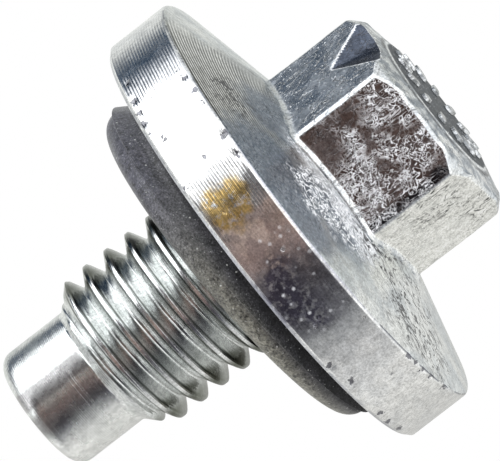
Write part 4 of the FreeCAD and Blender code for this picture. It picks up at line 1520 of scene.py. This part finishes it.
# %% Rubber finish
rubber_finish, board, shader, vector = new_finish("moulded_rubber", 0.0, 0.45)
tone = clouds(vector, (0.028, 0.028, 0.034), (0.052, 0.050, 0.058), 2.4, 1.0)
dust = specks(vector, 0.55, 0.13, 0.6)
fine_dust = specks(vector, 0.22, 0.17, 0.3)
ring_level = vector.vector("DOT_PRODUCT", (math.sin(SEAL_TILT), 0.0, math.cos(SEAL_TILT)))
to_right = board.axes(vector)[0]
outer_half = ring_level.range(FLANGE + 0.9, FLANGE + 2.2)
color = lay_colors(tone["Color"], [
    # Painted sheen on the outer half, olive-grey and purple-grey by side; painted shade by the flange.
    (outer_half * to_right.range(8.0, -8.0, 0.15, 0.8), (0.27, 0.262, 0.21)),
    (outer_half * to_right.range(0.0, 8.0, 0.0, 0.6), (0.050, 0.050, 0.078)),
    (vector.noise(11.0, detail=2.0).range(0.5, 0.7, 0.0, 0.35), (0.30, 0.30, 0.31)),
    (ring_level.range(FLANGE + 0.4, FLANGE + 1.5, 0.75, 0.0), (0.010, 0.010, 0.011)),
])
color = fine_grain(vector, color, 1.5)
color = mix_color(most(dust * 0.85, fine_dust * 0.7), color, (0.92, 0.93, 0.90))
board.connect(color, shader.inputs["Base Color"])
by_flange = 1.0 - ring_level.range(FLANGE + MOULD_LINE - 0.4, FLANGE + MOULD_LINE)
board.connect(0.34 + by_flange * 0.4 + tone["Mask"] * 0.14, shader.inputs["Roughness"])
pores = vector.noise(4.0, detail=5.0, roughness=0.7)
add_bump(shader, pores * 1.2 + most(dust, fine_dust) * 0.6, 0.03)
seal_mesh.materials.append(rubber_finish)
print("rubber nodes", len(board.tree.nodes))

# %% [markdown]
# ## Floor and light
# The plug stands on its head on a pale floor. The photograph looks up from a little below that floor, so
# the floor lets the view and the reflections through from underneath: its shader is clear from below and
# to shadow, mirror and bounce rays, and matte from above.

# %% Floor
FLOOR_RADIUS = 1.2
FLOOR_TONE = (0.84, 0.84, 0.84, 1)
floor_mesh = bpy.data.meshes.new("floor")
work = bmesh.new()
bmesh.ops.create_circle(work, cap_ends=True, radius=FLOOR_RADIUS, segments=96)
work.to_mesh(floor_mesh)
work.free()
floor = bpy.data.objects.new("floor", floor_mesh)
bpy.context.scene.collection.objects.link(floor)
floor_material = bpy.data.materials.new("pale_floor")
floor_material.use_nodes = True
board = NodeBoard(floor_material.node_tree)
board.tree.nodes.remove(board.tree.nodes["Principled BSDF"])
from_below = board.add("ShaderNodeNewGeometry", output="Backfacing")
rays = board.wires(board.node("ShaderNodeLightPath"))
mixed = board.add("ShaderNodeMixShader", {
    0: most(from_below, rays["Is Diffuse Ray"], rays["Is Shadow Ray"], rays["Is Glossy Ray"]),
    1: board.add("ShaderNodeBsdfDiffuse", {"Color": FLOOR_TONE}),
    2: board.add("ShaderNodeBsdfTransparent")})
board.connect(mixed, board.tree.nodes["Material Output"].inputs["Surface"])
floor_mesh.materials.append(floor_material)
print("floor radius in metres", FLOOR_RADIUS)

# %% [markdown]
# Bright metal shows what stands round it and little else, so the light is a soft studio all round: a
# broad white panel on one side, pale walls, and a few darker things in front. Area lights and cards
# could stand there, but as a world they throw no shadows of their own and each is one line of a list. A
# band is an angle round the axis, with 0 towards the camera, and a colour; the low ones are what the
# cone and the crown reflect from below.

# %% Bands of the studio
WALL_BANDS = [
    (-180, (0.60, 0.60, 0.58)), (-120, (0.76, 0.76, 0.74)), (-94, (0.88, 0.88, 0.86)),
    (-64, (0.66, 0.66, 0.66)), (-50, (0.33, 0.34, 0.35)), (-38, (0.08, 0.08, 0.10)),
    (-16, (0.06, 0.055, 0.06)), (-8, (0.29, 0.21, 0.20)), (12, (0.33, 0.25, 0.215)),
    (24, (0.07, 0.065, 0.07)), (38, (0.14, 0.14, 0.15)), (47, (2.6, 2.65, 2.7)),
    (101, (2.6, 2.65, 2.7)), (108, (0.80, 0.83, 0.90)), (115, (0.02, 0.05, 0.095)),
    (132, (0.02, 0.05, 0.095)), (141, (0.45, 0.47, 0.48)), (152, (0.85, 0.87, 0.85)),
    (180, (0.98, 1.0, 0.97)),
]
LOW_BANDS = [
    (-180, (0.90, 0.91, 0.89)), (-150, (0.96, 0.97, 0.95)), (-90, (1.1, 1.11, 1.10)),
    (-30, (1.5, 1.51, 1.52)), (60, (1.6, 1.62, 1.64)), (110, (0.85, 0.88, 0.90)),
    (140, (0.62, 0.64, 0.62)), (165, (0.62, 0.64, 0.61)), (180, (0.80, 0.81, 0.78)),
]
LOW_END = math.radians(-16)
LOW_START = math.radians(-3)
OVERHEAD_START = math.radians(30)
OVERHEAD_FULL = math.radians(60)
OVERHEAD_TONE = (0.95, 0.96, 0.96)


def wall_colors(angle, bands):
    """Return the colour of the studio's walls by the angle round the axis, from a list of bands."""
    board = angle.board
    ramp = board.node("ShaderNodeValToRGB", {0: angle / (2 * math.pi) + 0.5})
    stops = ramp.color_ramp.elements
    for number, (degrees, color) in enumerate(bands):
        place = degrees / 360 + 0.5
        stop = stops[number] if number < 2 else stops.new(place)
        if number < 2:
            stop.position = place
        stop.color = (*color, 1.0)
    return Wire(board, ramp.outputs[0])


print("studio bands", len(WALL_BANDS), len(LOW_BANDS))

# %% Studio all round, as seen by the metal; the camera sees plain white
world = bpy.data.worlds.new("soft_studio")
world.use_nodes = True
bpy.context.scene.world = world
board = NodeBoard(world.node_tree)
to_right, to_back, upward = board.axes(board.add("ShaderNodeTexCoord"))
height = board.math("ARCSINE", upward)
sideways = board.math("ARCTAN2", to_right, to_back * -1.0)
walls = wall_colors(sideways + height * 0.5, WALL_BANDS)
room = lay_colors(walls, [
    (1.0 - height.range(LOW_END, LOW_START), wall_colors(sideways, LOW_BANDS)),
    (height.range(OVERHEAD_START, OVERHEAD_FULL, 0.0, 0.6), OVERHEAD_TONE),
    (board.add("ShaderNodeLightPath", output="Is Camera Ray"), (1.0, 1.0, 1.0)),
])
board.connect(room, board.tree.nodes["Background"].inputs["Color"])
board.tree.nodes["Background"].inputs["Strength"].default_value = 1.0
bpy.context.scene.view_settings.view_transform = "Standard"
print("studio nodes", len(board.tree.nodes))

# %% [markdown]
